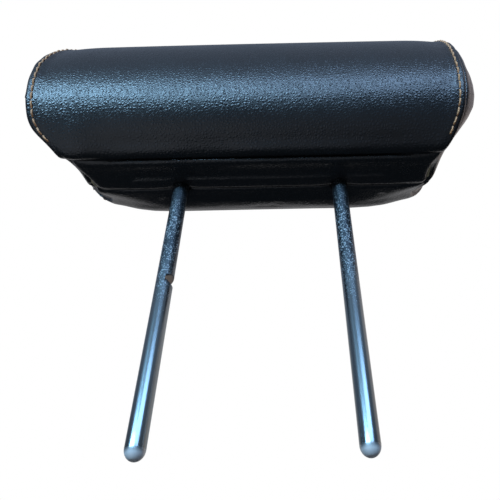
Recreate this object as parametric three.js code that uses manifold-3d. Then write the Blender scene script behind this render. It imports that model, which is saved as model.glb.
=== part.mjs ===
// Padded car headrest on two chromed steel posts, in millimetres.
// Origin: midway between the posts, where they leave the underside of the pad.
// Axes: +X to the right seen from the front, +Y to the back, +Z up.

import * as THREE from "three";
import { mergeVertices } from "three/addons/utils/BufferGeometryUtils.js";
import Module from "manifold-3d";

const wasm = await Module();
wasm.setup();

// Posts: one solid rod, bent to a U that stands upside down
const POST_DIAMETER = 10;
const POST_SPACING = 107;
const POST_LENGTH = 187; // below the underside
const POST_TIP_FLAT = 3.4; // diameter of the flat that the turned tip ends in
const POST_TIP_ROUND = 5.5; // height of the rounded tip
const FRAME_HEIGHT = 108; // axis of the crossbar above the underside
const FRAME_BEND = 22; // radius of the rod's axis at its two bends

// Locking notch, cut across the inner side of the left post
const NOTCH_DROP = 82.5; // middle of the notch below the underside
const NOTCH_DEPTH = 3.6;
const NOTCH_MOUTH = 7.2;
const NOTCH_FLOOR = 1.7;

// Section of the pad at the middle
const PAD_HEIGHT = 150;
const NOSE_REACH = 60; // foremost line, ahead of the posts
const NOSE_HEIGHT = 57;
const BACK_REACH = 31; // flat back, behind the posts
const BACK_TOP = 118; // where the back starts to round over
const BACK_FOOT = 22; // where the back starts to turn under
const FOOT_REACH = 17; // rear edge of the flat underside
const TOP_SEAM_REACH = 4; // seam between front and back cover, behind the posts
const MAIN_SEAM_REACH = 22.5; // seam under the nose, ahead of the posts
const MAIN_SEAM_HEIGHT = 2.6;
const UNDER_FLAT_REACH = 17.5; // front edge of the flat underside

// Fullness of the section's curves, as shares of the way between the points above
const NOSE_UNDERCUT = 0.55; // how far forward the nose keeps low after the main seam
const NOSE_SEAM_RISE = 0.6; // in mm
const NOSE_BELLY = 0.48;
const NOSE_BROW = 0.36;
const TOP_SLOPE_REACH = 0.4;
const TOP_SLOPE_HEIGHT = 0.92;
const BACK_CROWN_REACH = 0.6;
const BACK_CROWN_RISE = 0.5; // in mm
const BACK_BROW = 0.6;
const HEEL_HEIGHT = 0.4;
const HEEL_REACH = 0.6;
const UNDER_TURN_REACH = 0.7;
const UNDER_TURN_HEIGHT = 0.3;

// Ends of the pad
const NOSE_SEAM_X = 141; // half the distance between the two end seams at the nose
const BACK_SEAM_X = 132.5; // the same at the back
const END_BULGE = 7.6; // how far the end panels stand out past their seams
const END_AXIS_Y = -15;
const END_AXIS_Z = 76;
const NOSE_DROP = 2.9; // how far the end seam lies inside the middle section
const TOP_DROP = 4.1;
const BACK_DROP = 8;
const NOSE_FOOT_DROP = 2;
const BACK_FOOT_DROP = 12;
const NOSE_FOOT_POWER = 11.5; // how late the nose narrows towards the underside
const BACK_FOOT_POWER = 2.2;
const TOP_TAPER = 8.3;
const TOP_POWER = 2.3;
const UNDER_HALF_WIDTH = 117;
const UNDER_EDGE_LIFT = 3;
const UNDER_CORNER_POWER = 3;
const CORNER_EAR = 1.2; // how far the front cover's lower corners stand out past the underside
const HEEL_TUCK = 11.8; // how far the back's lower corners stay inside the underside's width
const ROLL_LEAN = 2; // how far the worn pad hangs over to the left, above the underside
const COVER_CREEP = 5; // how much further its cover has crept that way
const SEAM_LEAN = 0.52; // share of both that the main seam takes
const LEAN_HEIGHT = 7.5; // height over which the front takes up the rest
const TOP_LEAN = 0.2; // share of both that is left at the top seam
const FRONT_SHOULDER = 34; // width of the rounding that runs into the end seam
const BACK_SHOULDER = 48;
const UNDER_SHOULDER = 9;
const SHOULDER_ANGLE = THREE.MathUtils.degToRad(74);
const END_ROUND = 23; // width of the rounding from an end seam to the flatter middle of its panel
const DOME_POWER = 2; // how round an end panel rises from its seam
const TUCK_POWER = 1.23; // the same where the seam is tucked in under the pad
const TUCK_START = 0.35; // share of the tuck from which the panel changes from one to the other
const PANEL_EVENING = 60; // how widely an end panel's hollows and humps are evened out at its middle

// Cover
const COVER_THICKNESS = 2;
const SEAM_GAP = 1;
const SEAM_DIP = 1.1; // how deep the stitched edges are drawn in
const SEAM_ROLL = 3.2; // width of the edge that rolls into the seam
const POST_HOLE_CLEARANCE = 0.5;
const FOAM_CLEARANCE = 0.8;

// Pressed plate, welded to the crossbar and the posts
const SHEET = 1.2;
const PLATE_HALF_WIDTH = 61;
const PLATE_BOTTOM = 44;
const PLATE_TAB_HALF_WIDTH = 27; // the tab that hooks over the crossbar
const PLATE_FLANGE = 9;
const PLATE_HOOK_END = THREE.MathUtils.degToRad(-25);
const WINDOW_WIDTH = 32;
const WINDOW_HEIGHT = 20;
const WINDOW_CORNER = 6;
const WINDOW_OFFSET = 24; // from the middle of the plate to the middle of a window
const FIT_CLEARANCE = 0.35; // between parts that touch

// Closure of the cover under the pad: plastic hook and catch strips
const STRIP_WALL = 1.2;
const STRIP_HEIGHT = 7;
const STRIP_FLANGE = 9;
const STRIP_LIFT = 3.3; // above the outside of the underside
const STRIP_END_MARGIN = 33; // from the ends of the strips to the ends of the underside
const STRIP_POST_CLEARANCE = 2.5;

// Facets
const FRONT_ROWS = 16;
const BACK_ROWS = 22;
const UNDER_ROWS = 3;
const FLAT_COLUMNS = [0, 0.5, 1];
const SHOULDER_STEPS = [0.3, 0.55, 0.76];
const CAP_RINGS = [0.14, 0.3, 0.52, 0.76];
const ROD_SIDES = 20;
const BEND_STEPS = 7;
const TIP_STEPS = 4;
const SEGMENTS = 10;
const MERGE_DISTANCE = 1e-4;
const CUT_MARGIN = 5; // how far a cutting box reaches past what it cuts

const lerp = THREE.MathUtils.lerp;
const clamp = THREE.MathUtils.clamp;

// Solids and booleans

function toSolid(geometry) {
  const bare = geometry.clone();
  bare.deleteAttribute("normal");
  bare.deleteAttribute("uv");
  const merged = mergeVertices(bare, MERGE_DISTANCE);
  return new wasm.Manifold(
    new wasm.Mesh({
      numProp: 3,
      vertProperties: new Float32Array(merged.attributes.position.array),
      triVerts: new Uint32Array(merged.index.array),
    }),
  );
}

function toGeometry(solid) {
  const mesh = solid.getMesh();
  const geometry = new THREE.BufferGeometry();
  geometry.setAttribute("position", new THREE.BufferAttribute(mesh.vertProperties, 3));
  geometry.setIndex(new THREE.BufferAttribute(mesh.triVerts, 1));
  geometry.computeVertexNormals();
  return geometry;
}

function meshGeometry(points, triangles) {
  const geometry = new THREE.BufferGeometry();
  const flat = points.flatMap((p) => [p.x, p.y, p.z]);
  geometry.setAttribute("position", new THREE.Float32BufferAttribute(flat, 3));
  geometry.setIndex(triangles.flat());
  geometry.computeVertexNormals();
  return geometry;
}

function box(low, high) {
  const size = new THREE.Vector3().subVectors(high, low);
  const geometry = new THREE.BoxGeometry(size.x, size.y, size.z);
  geometry.translate((low.x + high.x) / 2, (low.y + high.y) / 2, (low.z + high.z) / 2);
  return toSolid(geometry);
}

// A section drawn in the Y-Z plane, run along X from one place to the other
function runAlongX(section, from, to) {
  const geometry = new THREE.ExtrudeGeometry(section, {
    depth: to - from,
    bevelEnabled: false,
    curveSegments: SEGMENTS,
  });
  // the shape's x becomes Y, its y becomes Z and its depth becomes X
  geometry.applyMatrix4(new THREE.Matrix4().set(0, 0, 1, from, 1, 0, 0, 0, 0, 1, 0, 0, 0, 0, 0, 1));
  return toSolid(geometry);
}

// An outline drawn in the X-Z plane, run along Y from one place to the other
function runAlongY(outline, from, to) {
  const geometry = new THREE.ExtrudeGeometry(outline, {
    depth: to - from,
    bevelEnabled: false,
    curveSegments: SEGMENTS,
  });
  geometry.applyMatrix4(new THREE.Matrix4().set(1, 0, 0, 0, 0, 0, -1, to, 0, 1, 0, 0, 0, 0, 0, 1));
  return toSolid(geometry);
}

function postHoles(radius, low, high) {
  const holes = [-1, 1].map((side) => {
    const geometry = new THREE.CylinderGeometry(radius, radius, high - low, ROD_SIDES);
    geometry.rotateX(Math.PI / 2);
    geometry.translate((side * POST_SPACING) / 2, 0, (low + high) / 2);
    return toSolid(geometry);
  });
  return holes[0].add(holes[1]);
}

// Section of the pad: three paths in the Y-Z plane that meet at the seams

const frontPath = new THREE.Path();
frontPath.moveTo(-MAIN_SEAM_REACH, MAIN_SEAM_HEIGHT);
frontPath.bezierCurveTo(
  lerp(-MAIN_SEAM_REACH, -NOSE_REACH, NOSE_UNDERCUT),
  MAIN_SEAM_HEIGHT + NOSE_SEAM_RISE,
  -NOSE_REACH,
  NOSE_HEIGHT * NOSE_BELLY,
  -NOSE_REACH,
  NOSE_HEIGHT,
);
frontPath.bezierCurveTo(
  -NOSE_REACH,
  lerp(NOSE_HEIGHT, PAD_HEIGHT, NOSE_BROW),
  lerp(-NOSE_REACH, TOP_SEAM_REACH, TOP_SLOPE_REACH),
  lerp(NOSE_HEIGHT, PAD_HEIGHT, TOP_SLOPE_HEIGHT),
  TOP_SEAM_REACH,
  PAD_HEIGHT,
);

const backPath = new THREE.Path();
backPath.moveTo(TOP_SEAM_REACH, PAD_HEIGHT);
backPath.bezierCurveTo(
  lerp(TOP_SEAM_REACH, BACK_REACH, BACK_CROWN_REACH),
  PAD_HEIGHT + BACK_CROWN_RISE,
  BACK_REACH,
  lerp(BACK_TOP, PAD_HEIGHT, BACK_BROW),
  BACK_REACH,
  BACK_TOP,
);
backPath.lineTo(BACK_REACH, BACK_FOOT);
backPath.bezierCurveTo(
  BACK_REACH,
  BACK_FOOT * HEEL_HEIGHT,
  lerp(FOOT_REACH, BACK_REACH, HEEL_REACH),
  0,
  FOOT_REACH,
  0,
);
backPath.lineTo(0, 0);

const underPath = new THREE.Path();
underPath.moveTo(0, 0);
underPath.lineTo(-UNDER_FLAT_REACH, 0);
underPath.bezierCurveTo(
  lerp(-UNDER_FLAT_REACH, -MAIN_SEAM_REACH, UNDER_TURN_REACH),
  0,
  -MAIN_SEAM_REACH,
  MAIN_SEAM_HEIGHT * UNDER_TURN_HEIGHT,
  -MAIN_SEAM_REACH,
  MAIN_SEAM_HEIGHT,
);

// Points along a path, with one close to each seam; the last point is the next path's first
function pointsAlong(path, rows) {
  const length = path.getLength();
  const distances = [0, SEAM_ROLL];
  for (let row = 1; row < rows; row++) {
    distances.push(lerp(SEAM_ROLL, length - SEAM_ROLL, row / rows));
  }
  distances.push(length - SEAM_ROLL);
  return distances.map((distance) => path.getPointAt(distance / length));
}

// Where the end seam lies for a point of the middle section
function endSeamPoint(point, foot) {
  const out = new THREE.Vector2(point.x - END_AXIS_Y, point.y - END_AXIS_Z).normalize();
  const width = lerp(NOSE_SEAM_X, BACK_SEAM_X, THREE.MathUtils.smoothstep(out.x, -1, 1));
  const rise = clamp((point.y - NOSE_HEIGHT) / (PAD_HEIGHT - NOSE_HEIGHT), 0, 1);
  const sink = clamp((NOSE_HEIGHT - point.y) / NOSE_HEIGHT, 0, 1);
  const x = width - TOP_TAPER * rise ** TOP_POWER - foot.taper * sink ** foot.power;
  const sideDrop = out.x < 0 ? NOSE_DROP : BACK_DROP;
  const levelDrop = out.y < 0 ? foot.drop : TOP_DROP;
  const drop = sideDrop * out.x ** 2 + levelDrop * out.y ** 2;
  return new THREE.Vector3(x, point.x - drop * out.x, point.y - drop * out.y);
}

// How the end seam narrows towards the underside, ahead of the posts and behind them
const noseFoot = {
  taper: NOSE_SEAM_X - UNDER_HALF_WIDTH - CORNER_EAR,
  power: NOSE_FOOT_POWER,
  drop: NOSE_FOOT_DROP,
};
const backFoot = {
  taper: BACK_SEAM_X - UNDER_HALF_WIDTH + HEEL_TUCK,
  power: BACK_FOOT_POWER,
  drop: BACK_FOOT_DROP,
};

// The lean fades from the nose up to the top seam
function upperLean(point) {
  return lerp(1, TOP_LEAN, clamp((point.y - NOSE_HEIGHT) / (PAD_HEIGHT - NOSE_HEIGHT), 0, 1));
}

function frontStation(point) {
  const end = endSeamPoint(point, noseFoot);
  const rise = THREE.MathUtils.smoothstep(point.y - MAIN_SEAM_HEIGHT, 0, LEAN_HEIGHT);
  const lean = lerp(SEAM_LEAN, 1, rise) * upperLean(point);
  return { mid: point, end, shoulder: FRONT_SHOULDER, lean, panel: "front_cover" };
}

function backStation(point) {
  const end = endSeamPoint(point, backFoot);
  // along the flat underside the end seam runs out to the corner of the front band
  const share = point.y < BACK_FOOT / 2 ? clamp(point.x / FOOT_REACH, 0, 1) : 1;
  const corner = new THREE.Vector3(UNDER_HALF_WIDTH, point.x, UNDER_EDGE_LIFT);
  const shoulder = lerp(UNDER_SHOULDER, BACK_SHOULDER, share);
  const lean = THREE.MathUtils.smoothstep(point.y, 0, NOSE_HEIGHT) * upperLean(point);
  return { mid: point, end: corner.lerp(end, share), shoulder, lean, panel: "back_cover" };
}

// The front band widens to the corner where the end seam meets the main seam
function underStation(point) {
  const corner = endSeamPoint(frontPath.getPointAt(0), noseFoot);
  const share = (-point.x / MAIN_SEAM_REACH) ** UNDER_CORNER_POWER;
  const end = new THREE.Vector3(
    lerp(UNDER_HALF_WIDTH, corner.x, share),
    point.x,
    lerp(UNDER_EDGE_LIFT, corner.z, share),
  );
  const shoulder = lerp(UNDER_SHOULDER, FRONT_SHOULDER, share);
  return { mid: point, end, shoulder, lean: SEAM_LEAN * share, panel: "underside_cover" };
}

const stations = [
  ...pointsAlong(frontPath, FRONT_ROWS).map(frontStation),
  ...pointsAlong(backPath, BACK_ROWS).map(backStation),
  ...pointsAlong(underPath, UNDER_ROWS).map(underStation),
];

// One closed net of points round the pad, with each triangle marked by its cover panel

function stationRow(station) {
  const start = station.end.x - station.shoulder;
  const half = FLAT_COLUMNS.map((share) => ({ x: share * start, blend: 0 }));
  const edge = 1 - SEAM_ROLL / station.shoulder;
  for (const step of [...SHOULDER_STEPS, edge, 1]) {
    const angle = Math.asin(step * Math.sin(SHOULDER_ANGLE));
    const blend = (1 - Math.cos(angle)) / (1 - Math.cos(SHOULDER_ANGLE));
    half.push({ x: start + step * station.shoulder, blend });
  }
  const place = (column, side) =>
    new THREE.Vector3(
      side * column.x - (ROLL_LEAN + COVER_CREEP) * station.lean,
      lerp(station.mid.x, station.end.y, column.blend),
      lerp(station.mid.y, station.end.z, column.blend),
    );
  const left = half.slice(1).reverse().map((column) => place(column, -1));
  const right = half.map((column) => place(column, 1));
  return [...left, ...right];
}

const net = { points: [], faces: [] };
const rows = stations.map((station) =>
  stationRow(station).map((point) => net.points.push(point) - 1),
);

function addQuad(a, b, c, d, panel) {
  net.faces.push({ corners: [a, b, c], panel }, { corners: [a, c, d], panel });
}

rows.forEach((row, i) => {
  const next = rows[(i + 1) % rows.length];
  for (let j = 0; j + 1 < row.length; j++) {
    addQuad(row[j], row[j + 1], next[j + 1], next[j], stations[i].panel);
  }
});

// Averages a ring of values along the panel's rim, given each value's place on the rim
function evenedOut(values, run, total, spread) {
  const count = values.length;
  return values.map((_, i) => {
    let sum = 0;
    let weights = 0;
    for (let j = 0; j < count; j++) {
      const span = (run[(j + 1) % count] - run[(j + count - 1) % count] + total) % total;
      const gap = Math.abs(run[i] - run[j]);
      const weight = Math.exp(-((Math.min(gap, total - gap) / spread) ** 2)) * span;
      sum += weight * values[j];
      weights += weight;
    }
    return sum / weights;
  });
}

function addEndPanel(side, panel) {
  const seam = rows.map((row) => (side < 0 ? row[0] : row[row.length - 1]));
  const rim = seam.map((index) => net.points[index]);
  const run = [0];
  rim.forEach((point, i) => run.push(run[i] + point.distanceTo(rim[(i + 1) % rim.length])));
  const total = run.pop();
  const reach = NOSE_SEAM_X + END_BULGE;
  const pole = new THREE.Vector3(side * reach - ROLL_LEAN, END_AXIS_Y, END_AXIS_Z);
  const poleIndex = net.points.push(pole) - 1;
  const widthAt = (from, share) => {
    const away = from.distanceTo(pole);
    const inset = Math.abs(pole.x - from.x) / (reach - UNDER_HALF_WIDTH);
    const tuck = THREE.MathUtils.smoothstep(inset, TUCK_START, 1);
    const across = Math.min((share * away) / lerp(END_ROUND, away, tuck), 1);
    const rise = 1 - (1 - across) ** lerp(DOME_POWER, TUCK_POWER, tuck);
    return lerp(from.x, pole.x, rise);
  };
  const addRing = (shares) => {
    const middle = shares.reduce((sum, share) => sum + share, 0) / shares.length;
    const widths = rim.map((from, i) => widthAt(from, shares[i]));
    const even = evenedOut(widths, run, total, PANEL_EVENING * middle);
    return rim.map((from, i) => {
      const point = from.clone().lerp(pole, shares[i]).setX(even[i]);
      return net.points.push(point) - 1;
    });
  };
  const rings = [seam, addRing(rim.map((from) => SEAM_ROLL / from.distanceTo(pole)))];
  for (const share of CAP_RINGS) {
    rings.push(addRing(rim.map(() => share)));
  }
  for (let i = 0; i < seam.length; i++) {
    const k = (i + 1) % seam.length;
    for (let r = 0; r + 1 < rings.length; r++) {
      const quad = [rings[r][i], rings[r + 1][i], rings[r + 1][k], rings[r][k]];
      addQuad(...(side > 0 ? quad : quad.reverse()), panel);
    }
    const last = rings[rings.length - 1];
    const corners = side > 0 ? [last[i], poleIndex, last[k]] : [last[k], poleIndex, last[i]];
    net.faces.push({ corners, panel });
  }
}

addEndPanel(-1, "left_end_cover");
addEndPanel(1, "right_end_cover");

const netGeometry = meshGeometry(
  net.points,
  net.faces.map((face) => face.corners),
);
const netNormals = net.points.map((_, i) =>
  new THREE.Vector3().fromBufferAttribute(netGeometry.attributes.normal, i),
);
const panelsAt = net.points.map(() => new Set());
net.faces.forEach((face) => face.corners.forEach((i) => panelsAt[i].add(face.panel)));
const onSeam = panelsAt.map((panels) => panels.size > 1);
const onCorner = panelsAt.map((panels) => panels.size > 2);

// A sewn panel: the net's faces of one panel, thickened inwards, with edges drawn into the seams
function coverPanel(panel) {
  const faces = net.faces.filter((face) => face.panel === panel).map((face) => face.corners);
  const edges = new Map();
  faces.forEach(([a, b, c]) =>
    [[a, b], [b, c], [c, a]].forEach(([from, to]) => edges.set(from + ":" + to, [from, to])),
  );
  const rim = [...edges.values()].filter(([from, to]) => !edges.has(to + ":" + from));
  const next = new Map(rim);
  const previous = new Map(rim.map(([from, to]) => [to, from]));
  const points = [];
  const outer = new Map();
  const inner = new Map();
  for (const i of new Set(faces.flat())) {
    const p = net.points[i].clone();
    const n = netNormals[i];
    const dip = onSeam[i] ? SEAM_DIP : 0;
    if (onSeam[i]) {
      const along = net.points[next.get(i)].clone().sub(net.points[previous.get(i)]).normalize();
      // the rim runs with the panel on its left, seen from outside
      p.addScaledVector(n.clone().cross(along).normalize(), onCorner[i] ? SEAM_GAP : SEAM_GAP / 2);
    }
    outer.set(i, points.push(p.clone().addScaledVector(n, -dip)) - 1);
    inner.set(i, points.push(p.clone().addScaledVector(n, -COVER_THICKNESS - dip / 2)) - 1);
  }
  const triangles = [];
  faces.forEach(([a, b, c]) => {
    triangles.push([outer.get(a), outer.get(b), outer.get(c)]);
    triangles.push([inner.get(c), inner.get(b), inner.get(a)]);
  });
  rim.forEach(([from, to]) => {
    triangles.push([outer.get(to), outer.get(from), inner.get(from)]);
    triangles.push([outer.get(to), inner.get(from), inner.get(to)]);
  });
  return toSolid(meshGeometry(points, triangles));
}

// The foam's outside: the whole net, drawn in by the cover and a small clearance
function foamBlock() {
  const points = net.points.map((point, i) => {
    const depth = COVER_THICKNESS + FOAM_CLEARANCE + (onSeam[i] ? SEAM_DIP : 0);
    return point.clone().addScaledVector(netNormals[i], -depth);
  });
  return toSolid(
    meshGeometry(
      points,
      net.faces.map((face) => face.corners),
    ),
  );
}

// The bent rod: rings round its axis, from one turned tip over the crossbar to the other
function bentRod(radius, tipStart) {
  const half = POST_SPACING / 2;
  const rings = [];
  const addRing = (x, z, angle, r) => rings.push({ x, z, angle, r });
  const addTip = (x, side) => {
    const steps = [];
    const flatAngle = Math.asin(POST_TIP_FLAT / POST_DIAMETER);
    for (let i = 0; i <= TIP_STEPS; i++) {
      const angle = lerp(flatAngle, Math.PI / 2, i / TIP_STEPS);
      const rise = POST_TIP_ROUND * (1 - Math.cos(angle) / Math.cos(flatAngle));
      steps.push({ z: tipStart + rise, r: radius * Math.sin(angle) });
    }
    const ordered = side < 0 ? steps : steps.reverse();
    ordered.forEach((step) => addRing(x, step.z, side < 0 ? 0 : Math.PI, step.r));
  };
  addTip(-half, -1);
  for (let i = 0; i <= BEND_STEPS; i++) {
    const angle = (i / BEND_STEPS) * (Math.PI / 2);
    const x = -half + FRAME_BEND * (1 - Math.cos(angle));
    addRing(x, FRAME_HEIGHT - FRAME_BEND * (1 - Math.sin(angle)), angle, radius);
  }
  for (let i = 0; i <= BEND_STEPS; i++) {
    const angle = (i / BEND_STEPS) * (Math.PI / 2);
    const x = half - FRAME_BEND * (1 - Math.sin(angle));
    addRing(x, FRAME_HEIGHT - FRAME_BEND * (1 - Math.cos(angle)), Math.PI / 2 + angle, radius);
  }
  addTip(half, 1);
  const points = [];
  rings.forEach(({ x, z, angle, r }) => {
    // the ring's own axes: the rod runs up at angle 0, to the right at a quarter turn
    for (let k = 0; k < ROD_SIDES; k++) {
      const turn = (k / ROD_SIDES) * 2 * Math.PI;
      const across = r * Math.cos(turn);
      points.push(
        new THREE.Vector3(x - across * Math.cos(angle), r * Math.sin(turn), z + across * Math.sin(angle)),
      );
    }
  });
  const triangles = [];
  for (let i = 0; i + 1 < rings.length; i++) {
    for (let k = 0; k < ROD_SIDES; k++) {
      const a = i * ROD_SIDES + k;
      const b = i * ROD_SIDES + ((k + 1) % ROD_SIDES);
      triangles.push([a, a + ROD_SIDES, b + ROD_SIDES], [a, b + ROD_SIDES, b]);
    }
  }
  const last = (rings.length - 1) * ROD_SIDES;
  for (let k = 1; k + 1 < ROD_SIDES; k++) {
    triangles.push([0, k, k + 1], [last, last + k + 1, last + k]);
  }
  return toSolid(meshGeometry(points, triangles));
}

function postFrame() {
  const rod = bentRod(POST_DIAMETER / 2, -POST_LENGTH);
  const floorX = -POST_SPACING / 2 + POST_DIAMETER / 2 - NOTCH_DEPTH;
  const mouthX = floorX + NOTCH_DEPTH + 1;
  const flare = (NOTCH_MOUTH - NOTCH_FLOOR) / 2 / NOTCH_DEPTH;
  const mouth = NOTCH_FLOOR / 2 + flare * (mouthX - floorX);
  const outline = new THREE.Shape([
    new THREE.Vector2(floorX, -NOTCH_DROP - NOTCH_FLOOR / 2),
    new THREE.Vector2(mouthX, -NOTCH_DROP - mouth),
    new THREE.Vector2(mouthX, -NOTCH_DROP + mouth),
    new THREE.Vector2(floorX, -NOTCH_DROP + NOTCH_FLOOR / 2),
  ]);
  return rod.subtract(runAlongY(outline, -POST_DIAMETER, POST_DIAMETER));
}

// The pressed plate, or with a grow value the room that it needs in the foam
function supportPlate(grow) {
  const inner = POST_DIAMETER / 2 + FIT_CLEARANCE - grow;
  const outer = POST_DIAMETER / 2 + FIT_CLEARANCE + SHEET + grow;
  const bottom = PLATE_BOTTOM - grow;
  const section = new THREE.Shape();
  section.moveTo(-inner, FRAME_HEIGHT);
  section.absarc(0, FRAME_HEIGHT, inner, Math.PI, PLATE_HOOK_END, true);
  section.absarc(0, FRAME_HEIGHT, outer, PLATE_HOOK_END, Math.PI, false);
  section.lineTo(-outer, bottom + SHEET + 2 * grow);
  section.lineTo(-outer - PLATE_FLANGE - grow, bottom + SHEET + 2 * grow);
  section.lineTo(-outer - PLATE_FLANGE - grow, bottom);
  section.lineTo(-inner, bottom);
  let plate = runAlongX(section, -PLATE_HALF_WIDTH - grow, PLATE_HALF_WIDTH + grow);
  const shoulderZ = FRAME_HEIGHT - FRAME_BEND + grow;
  for (const side of [-1, 1]) {
    const near = side * (PLATE_TAB_HALF_WIDTH + grow);
    const far = side * (PLATE_HALF_WIDTH + CUT_MARGIN);
    const reach = outer + CUT_MARGIN;
    const low = new THREE.Vector3(Math.min(near, far), -reach, shoulderZ);
    const high = new THREE.Vector3(Math.max(near, far), reach, FRAME_HEIGHT + reach);
    plate = plate.subtract(box(low, high));
    if (grow === 0) {
      plate = plate.subtract(plateWindow(side * WINDOW_OFFSET, outer));
    }
  }
  return plate;
}

// A window with round corners, through the flat of the plate
function plateWindow(middleX, reach) {
  const middleZ = (PLATE_BOTTOM + FRAME_HEIGHT - FRAME_BEND) / 2;
  const left = middleX - WINDOW_WIDTH / 2;
  const right = middleX + WINDOW_WIDTH / 2;
  const low = middleZ - WINDOW_HEIGHT / 2;
  const high = middleZ + WINDOW_HEIGHT / 2;
  const outline = new THREE.Shape();
  outline.moveTo(left + WINDOW_CORNER, low);
  outline.absarc(right - WINDOW_CORNER, low + WINDOW_CORNER, WINDOW_CORNER, -Math.PI / 2, 0, false);
  outline.absarc(right - WINDOW_CORNER, high - WINDOW_CORNER, WINDOW_CORNER, 0, Math.PI / 2, false);
  outline.absarc(left + WINDOW_CORNER, high - WINDOW_CORNER, WINDOW_CORNER, Math.PI / 2, Math.PI, false);
  outline.absarc(left + WINDOW_CORNER, low + WINDOW_CORNER, WINDOW_CORNER, Math.PI, 1.5 * Math.PI, false);
  return runAlongY(outline, -reach - 1, 0);
}

// Closure strips, three lengths of each: left of the posts, between them and right of them

const stripHalfLength = UNDER_HALF_WIDTH - STRIP_END_MARGIN;
const stripRoof = STRIP_LIFT + STRIP_HEIGHT;
const catchTop = stripRoof - STRIP_WALL - FIT_CLEARANCE;

function hookSection() {
  const wall = STRIP_WALL;
  return new THREE.Shape([
    new THREE.Vector2(-FIT_CLEARANCE / 2 - STRIP_FLANGE, STRIP_LIFT),
    new THREE.Vector2(-FIT_CLEARANCE / 2, STRIP_LIFT),
    new THREE.Vector2(-FIT_CLEARANCE / 2, stripRoof - wall),
    new THREE.Vector2(FIT_CLEARANCE * 1.5 + wall, stripRoof - wall),
    new THREE.Vector2(FIT_CLEARANCE * 1.5 + wall, stripRoof - 2.5 * wall),
    new THREE.Vector2(FIT_CLEARANCE * 1.5 + 2 * wall, stripRoof - 2.5 * wall),
    new THREE.Vector2(FIT_CLEARANCE * 1.5 + 2 * wall, stripRoof),
    new THREE.Vector2(-FIT_CLEARANCE / 2 - wall, stripRoof),
    new THREE.Vector2(-FIT_CLEARANCE / 2 - wall, STRIP_LIFT + wall),
    new THREE.Vector2(-FIT_CLEARANCE / 2 - STRIP_FLANGE, STRIP_LIFT + wall),
  ]);
}

function catchSection() {
  const wall = STRIP_WALL;
  return new THREE.Shape([
    new THREE.Vector2(FIT_CLEARANCE / 2, STRIP_LIFT),
    new THREE.Vector2(FIT_CLEARANCE / 2 + STRIP_FLANGE, STRIP_LIFT),
    new THREE.Vector2(FIT_CLEARANCE / 2 + STRIP_FLANGE, STRIP_LIFT + wall),
    new THREE.Vector2(FIT_CLEARANCE / 2 + wall, STRIP_LIFT + wall),
    new THREE.Vector2(FIT_CLEARANCE / 2 + wall, catchTop),
    new THREE.Vector2(FIT_CLEARANCE / 2, catchTop),
  ]);
}

function stripLengths() {
  const postEdge = POST_DIAMETER / 2 + STRIP_POST_CLEARANCE;
  const inside = POST_SPACING / 2 - postEdge;
  const outside = POST_SPACING / 2 + postEdge;
  return {
    left: [-stripHalfLength, -outside],
    middle: [-inside, inside],
    right: [outside, stripHalfLength],
  };
}

// The foam: moulded round the frame, with a groove for the closure

function foamCore() {
  const groove = box(
    new THREE.Vector3(
      -stripHalfLength - FIT_CLEARANCE,
      -STRIP_FLANGE - 2 * FIT_CLEARANCE,
      -UNDER_EDGE_LIFT,
    ),
    new THREE.Vector3(
      stripHalfLength + FIT_CLEARANCE,
      STRIP_FLANGE + 2 * FIT_CLEARANCE,
      stripRoof + FIT_CLEARANCE,
    ),
  );
  return foamBlock()
    .subtract(bentRod(POST_DIAMETER / 2 + FIT_CLEARANCE, -POST_LENGTH))
    .subtract(supportPlate(FIT_CLEARANCE))
    .subtract(groove);
}

// Materials

const leatherette = new THREE.MeshStandardMaterial({ color: 0x1b1d20, roughness: 0.5, metalness: 0 });
const foam = new THREE.MeshStandardMaterial({ color: 0xd8cfae, roughness: 0.95, metalness: 0 });
const chromedSteel = new THREE.MeshStandardMaterial({ color: 0x9aa3ad, roughness: 0.2, metalness: 1 });
const pressedSteel = new THREE.MeshStandardMaterial({ color: 0x70747a, roughness: 0.5, metalness: 1 });
const stripPlastic = new THREE.MeshStandardMaterial({ color: 0x232426, roughness: 0.6, metalness: 0 });

// Assembly

const headrest = new THREE.Group();

function addPart(name, solid, material, parent) {
  const mesh = new THREE.Mesh(toGeometry(solid), material);
  mesh.name = name;
  parent.add(mesh);
}

const frameGroup = new THREE.Group();
addPart("post_frame", postFrame(), chromedSteel, frameGroup);
addPart("support_plate", supportPlate(0), pressedSteel, frameGroup);
headrest.add(frameGroup);

const padGroup = new THREE.Group();
addPart("foam_core", foamCore(), foam, padGroup);
const holes = postHoles(POST_DIAMETER / 2 + POST_HOLE_CLEARANCE, -PAD_HEIGHT, NOSE_HEIGHT / 2);
for (const panel of ["front_cover", "back_cover", "underside_cover", "left_end_cover", "right_end_cover"]) {
  const solid = coverPanel(panel);
  const pierced = panel === "back_cover" || panel === "underside_cover";
  addPart(panel, pierced ? solid.subtract(holes) : solid, leatherette, padGroup);
}
headrest.add(padGroup);

const closureGroup = new THREE.Group();
for (const [place, [from, to]] of Object.entries(stripLengths())) {
  addPart("closure_hook_" + place, runAlongX(hookSection(), from, to), stripPlastic, closureGroup);
  addPart("closure_catch_" + place, runAlongX(catchSection(), from, to), stripPlastic, closureGroup);
}
headrest.add(closureGroup);

export default headrest;
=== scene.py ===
# Padded car headrest on two chromed posts: the finished surfaces, in the frame of the CAD model.

import math

import bmesh
import bpy
import numpy as np
from mathutils import Matrix, Vector
from mathutils.bvhtree import BVHTree
from mathutils.kdtree import KDTree


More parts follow.
